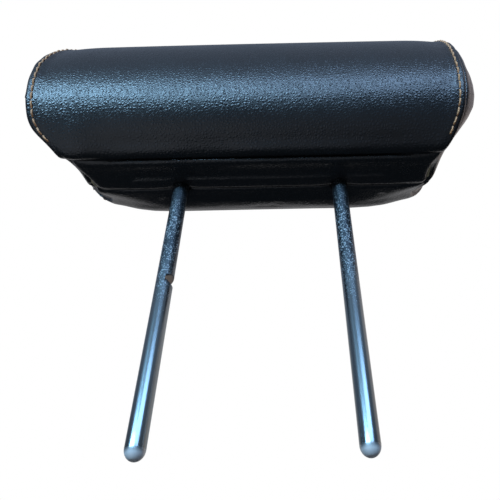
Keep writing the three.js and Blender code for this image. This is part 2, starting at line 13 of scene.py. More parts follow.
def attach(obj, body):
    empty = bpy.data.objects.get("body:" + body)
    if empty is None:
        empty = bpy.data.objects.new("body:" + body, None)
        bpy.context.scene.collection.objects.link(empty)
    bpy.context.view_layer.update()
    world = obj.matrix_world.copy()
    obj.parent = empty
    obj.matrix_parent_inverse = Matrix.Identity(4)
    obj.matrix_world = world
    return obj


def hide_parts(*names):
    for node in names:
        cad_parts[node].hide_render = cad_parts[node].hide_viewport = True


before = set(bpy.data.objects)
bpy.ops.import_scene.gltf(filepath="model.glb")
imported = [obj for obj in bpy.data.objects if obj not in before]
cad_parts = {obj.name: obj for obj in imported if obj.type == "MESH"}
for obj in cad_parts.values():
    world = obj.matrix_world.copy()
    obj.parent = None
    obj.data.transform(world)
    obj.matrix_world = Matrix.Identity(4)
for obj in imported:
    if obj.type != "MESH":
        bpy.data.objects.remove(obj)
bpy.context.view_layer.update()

MM = 0.001

# Camera: the photo is a crop, so the optical axis meets it right of and below its middle.
# Sizes on the photo are in pixels, angles in degrees
PHOTO_SIDE = 500
AXIS_PIXEL = (285, 295)
FOCAL_PIXELS = 509.5
SENSOR = 36.0
CAMERA_PLACE = (17.3 * MM, -224.2 * MM, -271.7 * MM)
CAMERA_AZIMUTH = 0.39
CAMERA_ELEVATION = -38.48
CAMERA_ROLL = -0.86

# Posts, in mm, as in the CAD model
POST_DIAMETER = 10
POST_SPACING = 107
POST_LENGTH = 187
POST_TIP_FLAT = 3.4
POST_TIP_ROUND = 5.5
FRAME_HEIGHT = 108
FRAME_BEND = 22
NOTCH_DROP = 82.5
NOTCH_DEPTH = 3.6
NOTCH_MOUTH = 7.2
NOTCH_FLOOR = 1.7
ROD_SIDES = 64
TIP_RINGS = 12
STRAIGHT_RINGS = 40
BEND_RINGS = 16

# Section of the pad at the middle, in mm, as in the CAD model
PAD_HEIGHT = 150
NOSE_REACH = 60
NOSE_HEIGHT = 57
BACK_REACH = 31
BACK_TOP = 118
BACK_FOOT = 22
FOOT_REACH = 17
TOP_SEAM_REACH = 4
MAIN_SEAM_REACH = 22.5
MAIN_SEAM_HEIGHT = 2.6
UNDER_FLAT_REACH = 17.5

# Ends of the pad, in mm, as in the CAD model
NOSE_SEAM_X = 141
BACK_SEAM_X = 132.5
END_BULGE = 7.6
END_AXIS = (-15, 76)
NOSE_DROP = 2.9
TOP_DROP = 4.1
BACK_DROP = 8
TOP_TAPER = 8.3
TOP_POWER = 2.3
UNDER_HALF_WIDTH = 117
UNDER_EDGE_LIFT = 3
CORNER_EAR = 1.2
HEEL_TUCK = 11.8
NOSE_FOOT = {"taper": NOSE_SEAM_X - UNDER_HALF_WIDTH - CORNER_EAR, "power": 11.5, "drop": 2}
BACK_FOOT_END = {"taper": BACK_SEAM_X - UNDER_HALF_WIDTH + HEEL_TUCK, "power": 2.2, "drop": 12}
ROLL_LEAN = 2
COVER_CREEP = 5
SEAM_LEAN = 0.52
LEAN_HEIGHT = 7.5
TOP_LEAN = 0.2
END_ROUND = 23
DOME_POWER = 2
TUCK_POWER = 1.23
TUCK_START = 0.35
PANEL_EVENING = 60
FRONT_SHOULDER = 34
BACK_SHOULDER = 48
UNDER_SHOULDER = 9
SHOULDER_ANGLE = math.radians(74)

# The right upper end stands further out and higher than in the CAD model, in mm
RIGHT_TOP_SPREAD = 3.2
RIGHT_TOP_LIFT = 2

# Net of points over the pad, in mm: fine near the seams and under the stitches, wider elsewhere
SEAM_STEPS = (0, 0.3, 0.7, 1.2, 1.8, 2.5, 3.3)
COLUMN_STEPS = (*SEAM_STEPS, 3.8, 4.3, 4.7, 5.1, 5.6, 6.2, 7, 8, 9.5, 11.5)
ROW_STEP = 1.6
COLUMN_STEP = 2.6
END_RING_STEP = 3.2

# Panels of the cover, in the order of their numbers in the net, and the distance that stands for
# a seam which a panel doesn't have
PANELS = ("front_cover", "back_cover", "underside_cover", "left_end_cover", "right_end_cover")
FRONT, BACK, UNDER, LEFT_END, RIGHT_END = range(5)
FAR = 1000.0

# Covers, in mm: thinner than in the CAD model, and laid on its foam
COVER_THICKNESS = 1.2
FOAM_TO_OUTSIDE = 1.5
FOAM_PUSH_LIMIT = 8
HOLE_CLEARANCE = 0.3
PIN_LEVELS = (-30, 16)

# End panels drawn taut, and lower corners eased, in mm and in rounds of evening
END_TAUT_FADE = 6
END_TAUT_ROUNDS = 120
CORNER_HEIGHTS = (14, 34)
CORNER_REACH = (84, 104)
CORNER_ROUNDS = 15

# Cloth simulation of the covers, with lengths in mm: held near the seams, free away from them
CLOTH_VOXEL = 5
CLOTH_FRAMES = 12
CLOTH_QUALITY = 6
CLOTH_MASS = 0.3
CLOTH_PRESSURE = 4
CLOTH_HELD = (3, 8)
CLOTH_FREE = (2, 12)
CLOTH_CAP = 2.2
CLOTH_START = 0.9
CLOTH_NEIGHBOURS = 6

# Width and depth in mm of the roll with which a cover goes down into a seam
END_ROLL = (2.6, 1.9)
TOP_ROLL = (2.4, 1.7)
MAIN_FRONT_ROLL = (1.7, 0.8)
MAIN_UNDER_ROLL = (1.2, 0.5)
CLOSING_BACK_ROLL = (3.2, 1.5)
CLOSING_UNDER_ROLL = (1.8, 2.6)

# Topstitching, in mm, with its slant in radians. The thread is drawn thicker than a real one, so
# that it shows in the render
STITCH_INSET = 5
STITCH_PITCH = 6
STITCH_LENGTH = 4.9
STITCH_RISE = 0.6
STITCH_DIP = 0.55
STITCH_SLANT = 0.06
STITCH_SEED = 4
THREAD_DIAMETER = 1.2
BACK_STITCH_END_HEIGHT = 16
FRONT_STITCH_END_HEIGHT = 6

# What the sewing draws into the covers, in mm
ALLOWANCE_RISE = 0.55
ALLOWANCE_EDGE = (0.5, 2.2)
ALLOWANCE_FADE = (6.5, 10)
GROOVE_WIDTH = 1.1
GROOVE_DEPTH = 0.35
GROOVE_HOLE_DEPTH = 0.4
PUCKER_LENGTH = 2.3 * STITCH_PITCH
PUCKER_REACH = 6
STITCHED_PUCKER = 0.12
PLAIN_PUCKER = 0.08
FRONT_OVERHANG = 0.9
FRONT_OVERHANG_REACH = 5
UNDER_OVERHANG = 0.3
UNDER_OVERHANG_REACH = 3
CLOSING_LEDGE = 0.6
CLOSING_LEDGE_FADE = (5, 20)
LEFT_EAR = 4
RIGHT_EAR = 1.2
EAR_REACH = 13
POST_DIMPLE = 1.6
POST_DIMPLE_REACH = 9


def linear(code):
    """An sRGB hex colour as linear red, green, blue and alpha."""
    channels = [int(code[i : i + 2], 16) / 255 for i in (1, 3, 5)]
    return (*[c / 12.92 if c <= 0.04045 else ((c + 0.055) / 1.055) ** 2.4 for c in channels], 1)


# Form of the pad: a net of points round its section and from end to end

def bezier(a, b, c, d, count=160):
    """Points on the curve from a to d with the handles b and c."""
    t = np.linspace(0, 1, count)[:, None]
    a, b, c, d = (np.array(p, float) for p in (a, b, c, d))
    return a * (1 - t) ** 3 + b * 3 * t * (1 - t) ** 2 + c * 3 * t**2 * (1 - t) + d * t**3


def mix(a, b, share):
    return a + (b - a) * share


def smooth(value, low=0.0, high=1.0):
    """0 up to low, 1 from high on, and an even ramp with soft ends between them."""
    t = np.clip((value - low) / (high - low), 0, 1)
    return t * t * (3 - 2 * t)


def front_path():
    """The middle section of the front cover, from the main seam round the nose to the top seam."""
    seam = (-MAIN_SEAM_REACH, MAIN_SEAM_HEIGHT)
    nose = (-NOSE_REACH, NOSE_HEIGHT)
    top = (TOP_SEAM_REACH, PAD_HEIGHT)
    lower = bezier(
        seam,
        (mix(-MAIN_SEAM_REACH, -NOSE_REACH, 0.55), MAIN_SEAM_HEIGHT + 0.6),
        (-NOSE_REACH, NOSE_HEIGHT * 0.48),
        nose,
    )
    upper = bezier(
        nose,
        (-NOSE_REACH, mix(NOSE_HEIGHT, PAD_HEIGHT, 0.36)),
        (mix(-NOSE_REACH, TOP_SEAM_REACH, 0.4), mix(NOSE_HEIGHT, PAD_HEIGHT, 0.92)),
        top,
    )
    return np.vstack([lower, upper[1:]])


def back_path():
    """The middle section of the back cover, from the top seam down to the closing seam."""
    crown = bezier(
        (TOP_SEAM_REACH, PAD_HEIGHT),
        (mix(TOP_SEAM_REACH, BACK_REACH, 0.6), PAD_HEIGHT + 0.5),
        (BACK_REACH, mix(BACK_TOP, PAD_HEIGHT, 0.6)),
        (BACK_REACH, BACK_TOP),
    )
    foot = bezier(
        (BACK_REACH, BACK_FOOT),
        (BACK_REACH, BACK_FOOT * 0.4),
        (mix(FOOT_REACH, BACK_REACH, 0.6), 0),
        (FOOT_REACH, 0),
    )
    return np.vstack([crown, foot, [[0, 0]]])


def under_path():
    """The middle section of the underside cover, from the closing seam to the main seam."""
    turn = bezier(
        (-UNDER_FLAT_REACH, 0),
        (mix(-UNDER_FLAT_REACH, -MAIN_SEAM_REACH, 0.7), 0),
        (-MAIN_SEAM_REACH, MAIN_SEAM_HEIGHT * 0.3),
        (-MAIN_SEAM_REACH, MAIN_SEAM_HEIGHT),
    )
    return np.vstack([[[0, 0]], turn])


def lengths_along(points):
    """How far each point of a line is from its start, along the line."""
    steps = np.linalg.norm(np.diff(points, axis=0), axis=1)
    return np.concatenate([[0], np.cumsum(steps)])


def spaced(length, step):
    """Distances along a run that ends in a seam at both sides, closer together near the seams."""
    edge = SEAM_STEPS[-1]
    count = max(2, round((length - 2 * edge) / step))
    middle = edge + (length - 2 * edge) * np.arange(1, count) / count
    return np.concatenate([SEAM_STEPS, middle, length - np.array(SEAM_STEPS[:0:-1])])


def rows_of(points, step):
    """The section points of one panel, and how far each is from the panel's first and last seam."""
    table = lengths_along(points)
    distances = spaced(table[-1], step)
    places = np.stack([np.interp(distances, table, points[:, i]) for i in (0, 1)], 1)
    return places, distances, table[-1] - distances


def rise_over_nose(places):
    """0 up to the height of the nose, growing evenly to 1 at the top of the pad."""
    return np.clip((places[:, 1] - NOSE_HEIGHT) / (PAD_HEIGHT - NOSE_HEIGHT), 0, 1)


def end_seam(places, foot):
    """Where the end seam lies for points of the middle section."""
    out = places - END_AXIS
    out /= np.linalg.norm(out, axis=1)[:, None]
    width = mix(NOSE_SEAM_X, BACK_SEAM_X, smooth(out[:, 0], -1, 1))
    rise = rise_over_nose(places)
    sink = np.clip((NOSE_HEIGHT - places[:, 1]) / NOSE_HEIGHT, 0, 1)
    x = width - TOP_TAPER * rise**TOP_POWER - foot["taper"] * sink ** foot["power"]
    side_drop = np.where(out[:, 0] < 0, NOSE_DROP, BACK_DROP)
    level_drop = np.where(out[:, 1] < 0, foot["drop"], TOP_DROP)
    drop = side_drop * out[:, 0] ** 2 + level_drop * out[:, 1] ** 2
    return np.column_stack([x, places - drop[:, None] * out])


def upper_lean(places):
    """The lean fades from the nose up to the top seam."""
    return mix(1, TOP_LEAN, rise_over_nose(places))


def front_rows():
    """For each row of the front cover: its places in the middle and at the end seam, its shoulder,
    its lean, and its distances from the panel's first and last seam."""
    places, first, last = rows_of(front_path(), ROW_STEP)
    rise = smooth(places[:, 1] - MAIN_SEAM_HEIGHT, 0, LEAN_HEIGHT)
    lean = mix(SEAM_LEAN, 1, rise) * upper_lean(places)
    return places, end_seam(places, NOSE_FOOT), np.full(len(places), FRONT_SHOULDER), lean, first, last


def back_rows():
    """The same for the back cover, whose foot narrows to the closing seam."""
    places, first, last = rows_of(back_path(), ROW_STEP)
    share = np.where(places[:, 1] < BACK_FOOT / 2, np.clip(places[:, 0] / FOOT_REACH, 0, 1), 1)[:, None]
    corner = np.column_stack(
        [np.full(len(places), UNDER_HALF_WIDTH), places[:, 0], np.full(len(places), UNDER_EDGE_LIFT)]
    )
    ends = mix(corner, end_seam(places, BACK_FOOT_END), share)
    lean = smooth(places[:, 1], 0, NOSE_HEIGHT) * upper_lean(places)
    return places, ends, mix(UNDER_SHOULDER, BACK_SHOULDER, share[:, 0]), lean, first, last


def under_rows():
    """The same for the underside cover."""
    places, first, last = rows_of(under_path(), ROW_STEP)
    seam_corner = end_seam(np.array([[-MAIN_SEAM_REACH, MAIN_SEAM_HEIGHT]]), NOSE_FOOT)[0]
    share = (-places[:, 0] / MAIN_SEAM_REACH) ** 3
    ends = np.column_stack(
        [
            mix(UNDER_HALF_WIDTH, seam_corner[0], share),
            places[:, 0],
            mix(UNDER_EDGE_LIFT, seam_corner[2], share),
        ]
    )
    return places, ends, mix(UNDER_SHOULDER, FRONT_SHOULDER, share), SEAM_LEAN * share, first, last


def half_row(place, end, shoulder, count):
    """Points of one row from its end seam to the middle, at the same distances from the seam
    in each row, and then evenly spaced."""
    start = end[0] - shoulder
    angle = np.linspace(0, SHOULDER_ANGLE, 80)
    x = start + shoulder * np.sin(angle) / math.sin(SHOULDER_ANGLE)
    blend = (1 - np.cos(angle)) / (1 - math.cos(SHOULDER_ANGLE))
    run = np.column_stack([x, mix(place[0], end[1], blend), mix(place[1], end[2], blend)])
    run = np.vstack([run[::-1], [[0, place[0], place[1]]]])
    table = lengths_along(run)
    rest = np.linspace(COLUMN_STEPS[-1], table[-1], count + 1)[1:]
    wanted = np.concatenate([COLUMN_STEPS, rest])
    return np.stack([np.interp(wanted, table, run[:, i]) for i in range(3)], 1)


def evened_out(values, shares, seam):
    """Averages each ring of an end panel along the panel's rim, more widely towards its middle."""
    run = lengths_along(np.vstack([seam, seam[:1]]))
    total, run = run[-1], run[:-1]
    span = (np.roll(run, -1) - np.roll(run, 1)) % total
    gap = np.abs(run[:, None] - run[None, :])
    gap = np.minimum(gap, total - gap)
    out = values.copy()
    for k, share in enumerate(shares):
        weight = np.exp(-((gap / (PANEL_EVENING * share)) ** 2)) * span
        out[:, k] = weight @ values[:, k] / weight.sum(1)
    return out


def end_rings(seam, side):
    """Points of an end panel: rings from its seam towards its middle, without either of them."""
    pole = np.array([side * (NOSE_SEAM_X + END_BULGE) - ROLL_LEAN, *END_AXIS])
    reach = np.linalg.norm(seam - pole, axis=1)
    inner = round(reach.mean() / END_RING_STEP)
    edge = np.array(SEAM_STEPS[1:])[None, :] / reach[:, None]
    rest = np.linspace(0, 1, inner + 1)[None, 1:-1]
    last = edge[:, -1:]
    shares = np.hstack([edge, last + (1 - last) * rest])[..., None]
    distances = shares[..., 0] * reach[:, None]
    inset = np.abs(pole[0] - seam[:, 0]) / (NOSE_SEAM_X + END_BULGE - UNDER_HALF_WIDTH)
    tuck = smooth(inset, TUCK_START, 1)
    across = np.minimum(distances / mix(END_ROUND, reach, tuck)[:, None], 1)
    rise = 1 - (1 - across) ** mix(DOME_POWER, TUCK_POWER, tuck)[:, None]
    rings = mix(seam[:, None, :], pole, shares)
    rings[..., 0] = evened_out(mix(seam[:, None, 0], pole[0], rise), shares[..., 0].mean(0), seam)
    return rings, distances, pole


def build_band():
    """The front, back and underside covers as one band round the pad.

    Gives its points in rows, the panel of each row, and what sew needs to know of each point.
    """
    pieces = [front_rows(), back_rows(), under_rows()]
    longest = max(p[1][:, 0].max() for p in pieces)
    count = round((longest - COLUMN_STEPS[-1]) / COLUMN_STEP)
    rows, row_panel, row_lean, to_first, to_last = [], [], [], [], []
    for panel, (places, ends, shoulders, lean, first, last) in enumerate(pieces):
        for i in range(len(places) - 1):
            rows.append(half_row(places[i], ends[i], shoulders[i], count))
            row_panel.append(panel)
            row_lean.append(lean[i])
            to_first.append(first[i])
            to_last.append(last[i])
    half = np.array(rows)
    mirrored = half * (-1, 1, 1)
    band = np.concatenate([mirrored, half[:, -2::-1]], axis=1)
    band[..., 0] -= (ROLL_LEAN + COVER_CREEP) * np.array(row_lean)[:, None]
    to_right = smooth(band[..., 0], 0, NOSE_SEAM_X) * smooth(band[..., 2], NOSE_HEIGHT, PAD_HEIGHT)
    band[..., 0] += RIGHT_TOP_SPREAD * to_right
    band[..., 2] += RIGHT_TOP_LIFT * to_right
    inner_distance = np.linspace(COLUMN_STEPS[-1], longest, count + 1)[1:]
    half_distance = np.concatenate([COLUMN_STEPS, inner_distance])
    end_distance = np.concatenate([half_distance, half_distance[-2::-1]])
    row_count, column_count = band.shape[:2]
    columns = {
        "to_end": np.tile(end_distance, row_count),
        "to_first": np.repeat(to_first, column_count),
        "to_last": np.repeat(to_last, column_count),
        "row": np.repeat(np.arange(row_count), column_count),
        "panel": np.repeat(row_panel, column_count),
    }
    return band, np.array(row_panel), columns


def strip_faces(grid, i, k):
    """The four-sided faces between rows i and k of a grid of point numbers."""
    return np.stack([grid[i, :-1], grid[i, 1:], grid[k, 1:], grid[k, :-1]], 1)


def build_net():
    """The whole outside of the pad as one closed net, with each point's distances from the seams."""
    band, row_panel, columns = build_band()
    row_count, column_count = band.shape[:2]
    points = [band.reshape(-1, 3)]
    index = np.arange(row_count * column_count).reshape(row_count, column_count)
    faces, face_panel = [], []
    following = np.roll(np.arange(row_count), -1)
    for i, k in enumerate(following):
        quads = strip_faces(index, i, k)
        faces += quads.tolist()
        face_panel += [row_panel[i]] * len(quads)
    total = row_count * column_count
    for side, panel, edge in ((-1, LEFT_END, 0), (1, RIGHT_END, -1)):
        rings, ring_distance, pole = end_rings(band[:, edge], side)
        ring_count = rings.shape[1]
        grid = total + np.arange(row_count * ring_count).reshape(row_count, ring_count)
        grid = np.hstack([index[:, [edge]], grid])
        centre = total + row_count * ring_count
        points += [rings.reshape(-1, 3), pole[None]]
        added = row_count * ring_count + 1
        columns["to_end"] = np.concatenate([columns["to_end"], ring_distance.ravel(), [FAR]])
        for name in ("to_first", "to_last"):
            columns[name] = np.concatenate([columns[name], np.full(added, FAR)])
        ring_rows = np.append(np.repeat(np.arange(row_count), ring_count), 0)
        columns["row"] = np.concatenate([columns["row"], ring_rows])
        columns["panel"] = np.concatenate([columns["panel"], np.full(added, panel)])
        for i, k in enumerate(following):
            quads = strip_faces(grid, i, k)
            tip = [grid[i, -1], centre, grid[k, -1]]
            if side < 0:
                quads = quads[:, ::-1]
                tip = tip[::-1]
            faces += quads.tolist() + [[int(v) for v in tip]]
            face_panel += [panel] * (len(quads) + 1)
        total += added
    return {
        "points": np.vstack(points),
        "faces": faces,
        "face_panel": np.array(face_panel),
        "row_panel": row_panel,
        "row_height": band[:, column_count // 2, 2],
        "seam_run": lengths_along(np.vstack([band[:, -1], band[:1, -1]]))[:-1],
        "index": index,
        **columns,
    }


def net_edges(faces):
    """Each pair of neighbouring points, once in each direction."""
    return np.array(sorted({(f[i - 1], f[i]) for f in faces for i in range(len(f))}))


def evened(points, faces, free, rounds):
    """Moves each point towards the middle of its neighbours, as far as its share in free lets it."""
    edges = net_edges(faces)
    near = np.bincount(edges[:, 0], minlength=len(points)).astype(float)[:, None]
    for _ in range(rounds):
        mean = np.zeros_like(points)
        np.add.at(mean, edges[:, 0], points[edges[:, 1]])
        points = points + 0.5 * free[:, None] * (mean / near - points)
    return points


def taut_ends(net):
    """Draws the end panels taut between their seams, so that no fold is left at the corners."""
    free = np.where(net["panel"] >= LEFT_END, smooth(net["to_end"], 0, END_TAUT_FADE), 0)
    return evened(net["points"], net["faces"], free, END_TAUT_ROUNDS)


def eased_corners(points, faces):
    """Softens the lower corners, where three seams meet and the cover is thick and rounded."""
    low = 1 - smooth(points[:, 2], *CORNER_HEIGHTS)
    outer = smooth(np.abs(points[:, 0]), *CORNER_REACH)
    return evened(points, faces, low * outer, CORNER_ROUNDS)


def laid_on_foam(net):
    """Pushes out what lies too deep, so that the covers lie on the foam and never in it."""
    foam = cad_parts["foam_core"].data
    corners = [v.co / MM for v in foam.vertices]
    surface = BVHTree.FromPolygons(corners, [tuple(p.vertices) for p in foam.polygons])
    points = net["points"].copy()
    from_posts = np.hypot(np.abs(points[:, 0]) - POST_SPACING / 2, points[:, 1])
    for i in np.flatnonzero((from_posts > POST_DIAMETER) | (points[:, 2] > BACK_FOOT)):
        place, outward, _, _ = surface.find_nearest(points[i])
        depth = FOAM_TO_OUTSIDE - (Vector(points[i]) - place).dot(outward)
        if 0 < depth < FOAM_PUSH_LIMIT:
            points[i] += np.array(outward) * depth
    return points


def seam_distance(net):
    """Each point's distance from the nearest seam, in mm."""
    return np.minimum(net["to_end"], np.minimum(net["to_first"], net["to_last"]))


def away_from_seams(net):
    """0 at the seams, which hold the covers, and 1 where they are free to swell."""
    return smooth(seam_distance(net), *CLOTH_FREE)[:, None]


def blown_up(net):
    """Each point's move in mm when the covers are simulated as cloth over springy foam.

    The cloth is held at its seams. It is a coarser, even mesh, whose moves are then spread to the net.
    """
    points = net["points"]
    mesh = bpy.data.meshes.new("cloth")
    mesh.from_pydata((points * MM).tolist(), [], net["faces"])
    cloth = bpy.data.objects.new("cloth", mesh)
    bpy.context.scene.collection.objects.link(cloth)
    remesh = cloth.modifiers.new("remesh", "REMESH")
    remesh.mode = "VOXEL"
    remesh.voxel_size = CLOTH_VOXEL * MM
    make_plain_mesh(cloth)
    net_tree = KDTree(len(points))
    for i, point in enumerate(points):
        net_tree.insert(point, i)
    net_tree.balance()
    start = np.array([v.co for v in cloth.data.vertices]) / MM
    nearest = [net_tree.find(p)[1] for p in start]
    held = 1 - smooth(seam_distance(net)[nearest], *CLOTH_HELD)
    group = cloth.vertex_groups.new(name="seams")
    for i, weight in enumerate(held):
        group.add([i], float(weight), "REPLACE")
    settings = cloth.modifiers.new("cloth", "CLOTH").settings
    settings.quality = CLOTH_QUALITY
    settings.mass = CLOTH_MASS
    settings.use_pressure = True
    settings.uniform_pressure_force = CLOTH_PRESSURE
    settings.effector_weights.gravity = 0
    settings.vertex_group_mass = "seams"
    scene = bpy.context.scene
    for step in range(1, CLOTH_FRAMES + 1):
        scene.frame_set(step)
    graph = bpy.context.evaluated_depsgraph_get()
    end = np.array([v.co for v in cloth.evaluated_get(graph).data.vertices]) / MM
    scene.frame_set(1)
    bpy.data.objects.remove(cloth)
    move = end - start
    size = np.linalg.norm(move, axis=1)[:, None]
    move *= np.minimum(1, CLOTH_CAP / np.maximum(size, 1e-6))
    cloth_tree = KDTree(len(start))
    for i, point in enumerate(start):
        cloth_tree.insert(point, i)
    cloth_tree.balance()
    moved = np.zeros_like(points)
    for i, point in enumerate(points):
        found = cloth_tree.find_n(point, CLOTH_NEIGHBOURS)
        weights = np.array([1 / (1 + f[2]) ** 2 for f in found])
        moved[i] = weights @ move[[f[1] for f in found]] / weights.sum()
    return moved * away_from_seams(net)


def net_normals(points, faces):
    """The direction out of the pad at each point."""
    mesh = bpy.data.meshes.new("net")
    mesh.from_pydata(points.tolist(), [], faces)
    mesh.update()
    normals = np.zeros(len(points) * 3, np.float32)
    mesh.vertices.foreach_get("normal", normals)
    bpy.data.meshes.remove(mesh)
    return normals.reshape(-1, 3).astype(float)


def rolled_edge(distance, width, depth):
    """How far the cover has gone in at this distance from a seam, where it rolls over into it."""
    share = np.clip(1 - distance / width, 0, 1)
    return depth * (1 - np.sqrt(1 - share**2))


def bump(distance, centre, width):
    """A bell-shaped rise of height 1."""
    return np.exp(-(((distance - centre) / width) ** 2))


def sew(net):
    """Draws the seams, the topstitching and the dimples round the posts into the net.

    All of it moves points along the net's normals, which are given back too.
    """
    normals = net_normals(net["points"], net["faces"])
    end, first, last, panel = (net[name] for name in ("to_end", "to_first", "to_last", "panel"))
    x, y, z = net["points"].T
    run = net["seam_run"][net["row"]]
    front, back, under = panel == FRONT, panel == BACK, panel == UNDER
    stitched = front | back
    lift = -rolled_edge(end, *END_ROLL)
    # the seam allowances lie under the band, which is topstitched to them
    allowance = smooth(end, *ALLOWANCE_EDGE) * (1 - smooth(end, *ALLOWANCE_FADE))
    hole = 0.5 + 0.5 * np.cos(2 * math.pi * run / STITCH_PITCH)
    groove = bump(end, STITCH_INSET, GROOVE_WIDTH) * (GROOVE_DEPTH + GROOVE_HOLE_DEPTH * hole**2)
    lift += np.where(stitched, ALLOWANCE_RISE * allowance - groove, 0)
    # short puckers that the stitches pull into the cover, unevenly spaced
    wave = np.sin(2 * math.pi * run / PUCKER_LENGTH + 1.3 * np.sin(run / 19))
    pucker = bump(end, STITCH_INSET, PUCKER_REACH) * wave
    lift += np.where(stitched, STITCHED_PUCKER * pucker, PLAIN_PUCKER * pucker)
    for cover, distance, roll in (
        (front, first, MAIN_FRONT_ROLL),
        (under, last, MAIN_UNDER_ROLL),
        (front, last, TOP_ROLL),
        (back, first, TOP_ROLL),
        (under, first, CLOSING_UNDER_ROLL),
        (back, last, CLOSING_BACK_ROLL),
    ):
        lift -= np.where(cover, rolled_edge(distance, *roll), 0)
    lift += np.where(under, CLOSING_LEDGE * (1 - smooth(first, *CLOSING_LEDGE_FADE)), 0)
    # both covers stand out a little beside the main seam, unevenly where it was pulled tight
    tension = np.sin(x / 17 + 0.6) + 0.7 * np.sin(x / 9.3 + 2.0) + 0.5 * np.sin(x / 31)
    over_seam = bump(first, FRONT_OVERHANG_REACH, FRONT_OVERHANG_REACH)
    below_seam = bump(last, UNDER_OVERHANG_REACH, UNDER_OVERHANG_REACH)
    lift += np.where(front, (FRONT_OVERHANG + 0.35 * tension) * over_seam, 0)
    lift += np.where(under, (UNDER_OVERHANG + 0.3 * tension) * below_seam, 0)
    # the slack lower corners of the front cover stand out past the underside, the left one most
    for side, ear in ((-1, LEFT_EAR), (1, RIGHT_EAR)):
        corner_x = side * (UNDER_HALF_WIDTH + CORNER_EAR)
        distance = np.hypot(x - corner_x, 1.6 * (z - MAIN_SEAM_HEIGHT))
        near = np.exp(-((distance / EAR_REACH) ** 2)) * smooth(first, 0, 3)
        lift += np.where(front, ear * near, 0)
    # the cover is drawn in round the posts
    for side in (-1, 1):
        distance = np.hypot(x - side * POST_SPACING / 2, y)
        dimple = POST_DIMPLE * np.exp(-((distance / POST_DIMPLE_REACH) ** 2))
        lift -= np.where(back | under, dimple, 0)
    return net["points"] + normals * lift[:, None], normals


# Objects

def add_mesh(name, points, faces, material, smooth_shaded=True):
    """A mesh object from points in mm."""
    mesh = bpy.data.meshes.new(name)
    mesh.from_pydata((np.asarray(points) * MM).tolist(), [], faces)
    mesh.update()
    mesh.polygons.foreach_set("use_smooth", [smooth_shaded] * len(mesh.polygons))
    mesh.materials.append(material)
    obj = bpy.data.objects.new(name, mesh)
    bpy.context.scene.collection.objects.link(obj)
    return obj


def panel_shell(net, points, normals, panel):
    """The points and faces of one sewn panel, thickened inwards."""
    faces = [f for f, p in zip(net["faces"], net["face_panel"]) if p == panel]
    used = sorted({v for f in faces for v in f})
    number = {v: i for i, v in enumerate(used)}
    outer = points[used]
    inner = outer - normals[used] * COVER_THICKNESS
    count = len(used)
    shell = [[number[v] for v in f] for f in faces]
    shell += [[number[v] + count for v in reversed(f)] for f in faces]
    edges = {(f[i], f[(i + 1) % len(f)]) for f in faces for i in range(len(f))}
    for a, b in edges:
        if (b, a) not in edges:
            shell.append([number[b], number[a], number[a] + count, number[b] + count])
    return np.vstack([outer, inner]), shell


def make_plain_mesh(obj):
    """Makes the object's evaluated mesh its own, and leaves no modifier on it."""
    graph = bpy.context.evaluated_depsgraph_get()
    mesh = bpy.data.meshes.new_from_object(obj.evaluated_get(graph))
    obj.modifiers.clear()
    obj.data = mesh


def cut(obj, tool):
    """Cuts the tool's solid out of the object."""
    modifier = obj.modifiers.new("cut", "BOOLEAN")
    modifier.operation = "DIFFERENCE"
    modifier.solver = "EXACT"
    modifier.object = tool
    make_plain_mesh(obj)


def drop_pin_walls(obj):
    """Removes what the cut has left of the pins outside the cover's own thickness."""
    work = bmesh.new()
    work.from_mesh(obj.data)
    low, high = PIN_LEVELS[0] * MM, PIN_LEVELS[1] * MM
    slack = MM / 10
    around = (POST_DIAMETER / 2 + 1) * MM
    side = POST_SPACING / 2 * MM
    leftovers = []
    for face in work.faces:
        places = [v.co for v in face.verts]
        at_end = any(p.z < low + slack or p.z > high - slack for p in places)
        if at_end and all(math.hypot(abs(p.x) - side, p.y) < around for p in places):
            leftovers.append(face)
    bmesh.ops.delete(work, geom=leftovers, context="FACES")
    work.to_mesh(obj.data)
    work.free()


def finish_piece(obj, replaced=()):
    """Gives a piece its body, and hides the CAD nodes that it stands for."""
    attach(obj, "root")
    if replaced:
        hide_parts(*replaced)


# Post frame

def rod_rings():
    """Centre, direction and radius of each ring round the bent rod, from tip to tip."""
    half = POST_SPACING / 2
    radius = POST_DIAMETER / 2
    flat = math.asin(POST_TIP_FLAT / POST_DIAMETER)
    tip = []
    for angle in np.linspace(flat, math.pi / 2, TIP_RINGS):
        rise = POST_TIP_ROUND * (1 - math.cos(angle) / math.cos(flat))
        tip.append((-POST_LENGTH + rise, radius * math.sin(angle)))
    rings = [(-half, z, 0.0, r) for z, r in tip]
    straight = np.linspace(-POST_LENGTH + POST_TIP_ROUND, FRAME_HEIGHT - FRAME_BEND, STRAIGHT_RINGS)
    rings += [(-half, z, 0.0, radius) for z in straight[1:-1]]
    for angle in np.linspace(0, math.pi / 2, BEND_RINGS):
        x = -half + FRAME_BEND * (1 - math.cos(angle))
        rings.append((x, FRAME_HEIGHT - FRAME_BEND * (1 - math.sin(angle)), angle, radius))
    return rings + [(-x, z, math.pi - angle, r) for x, z, angle, r in reversed(rings)]


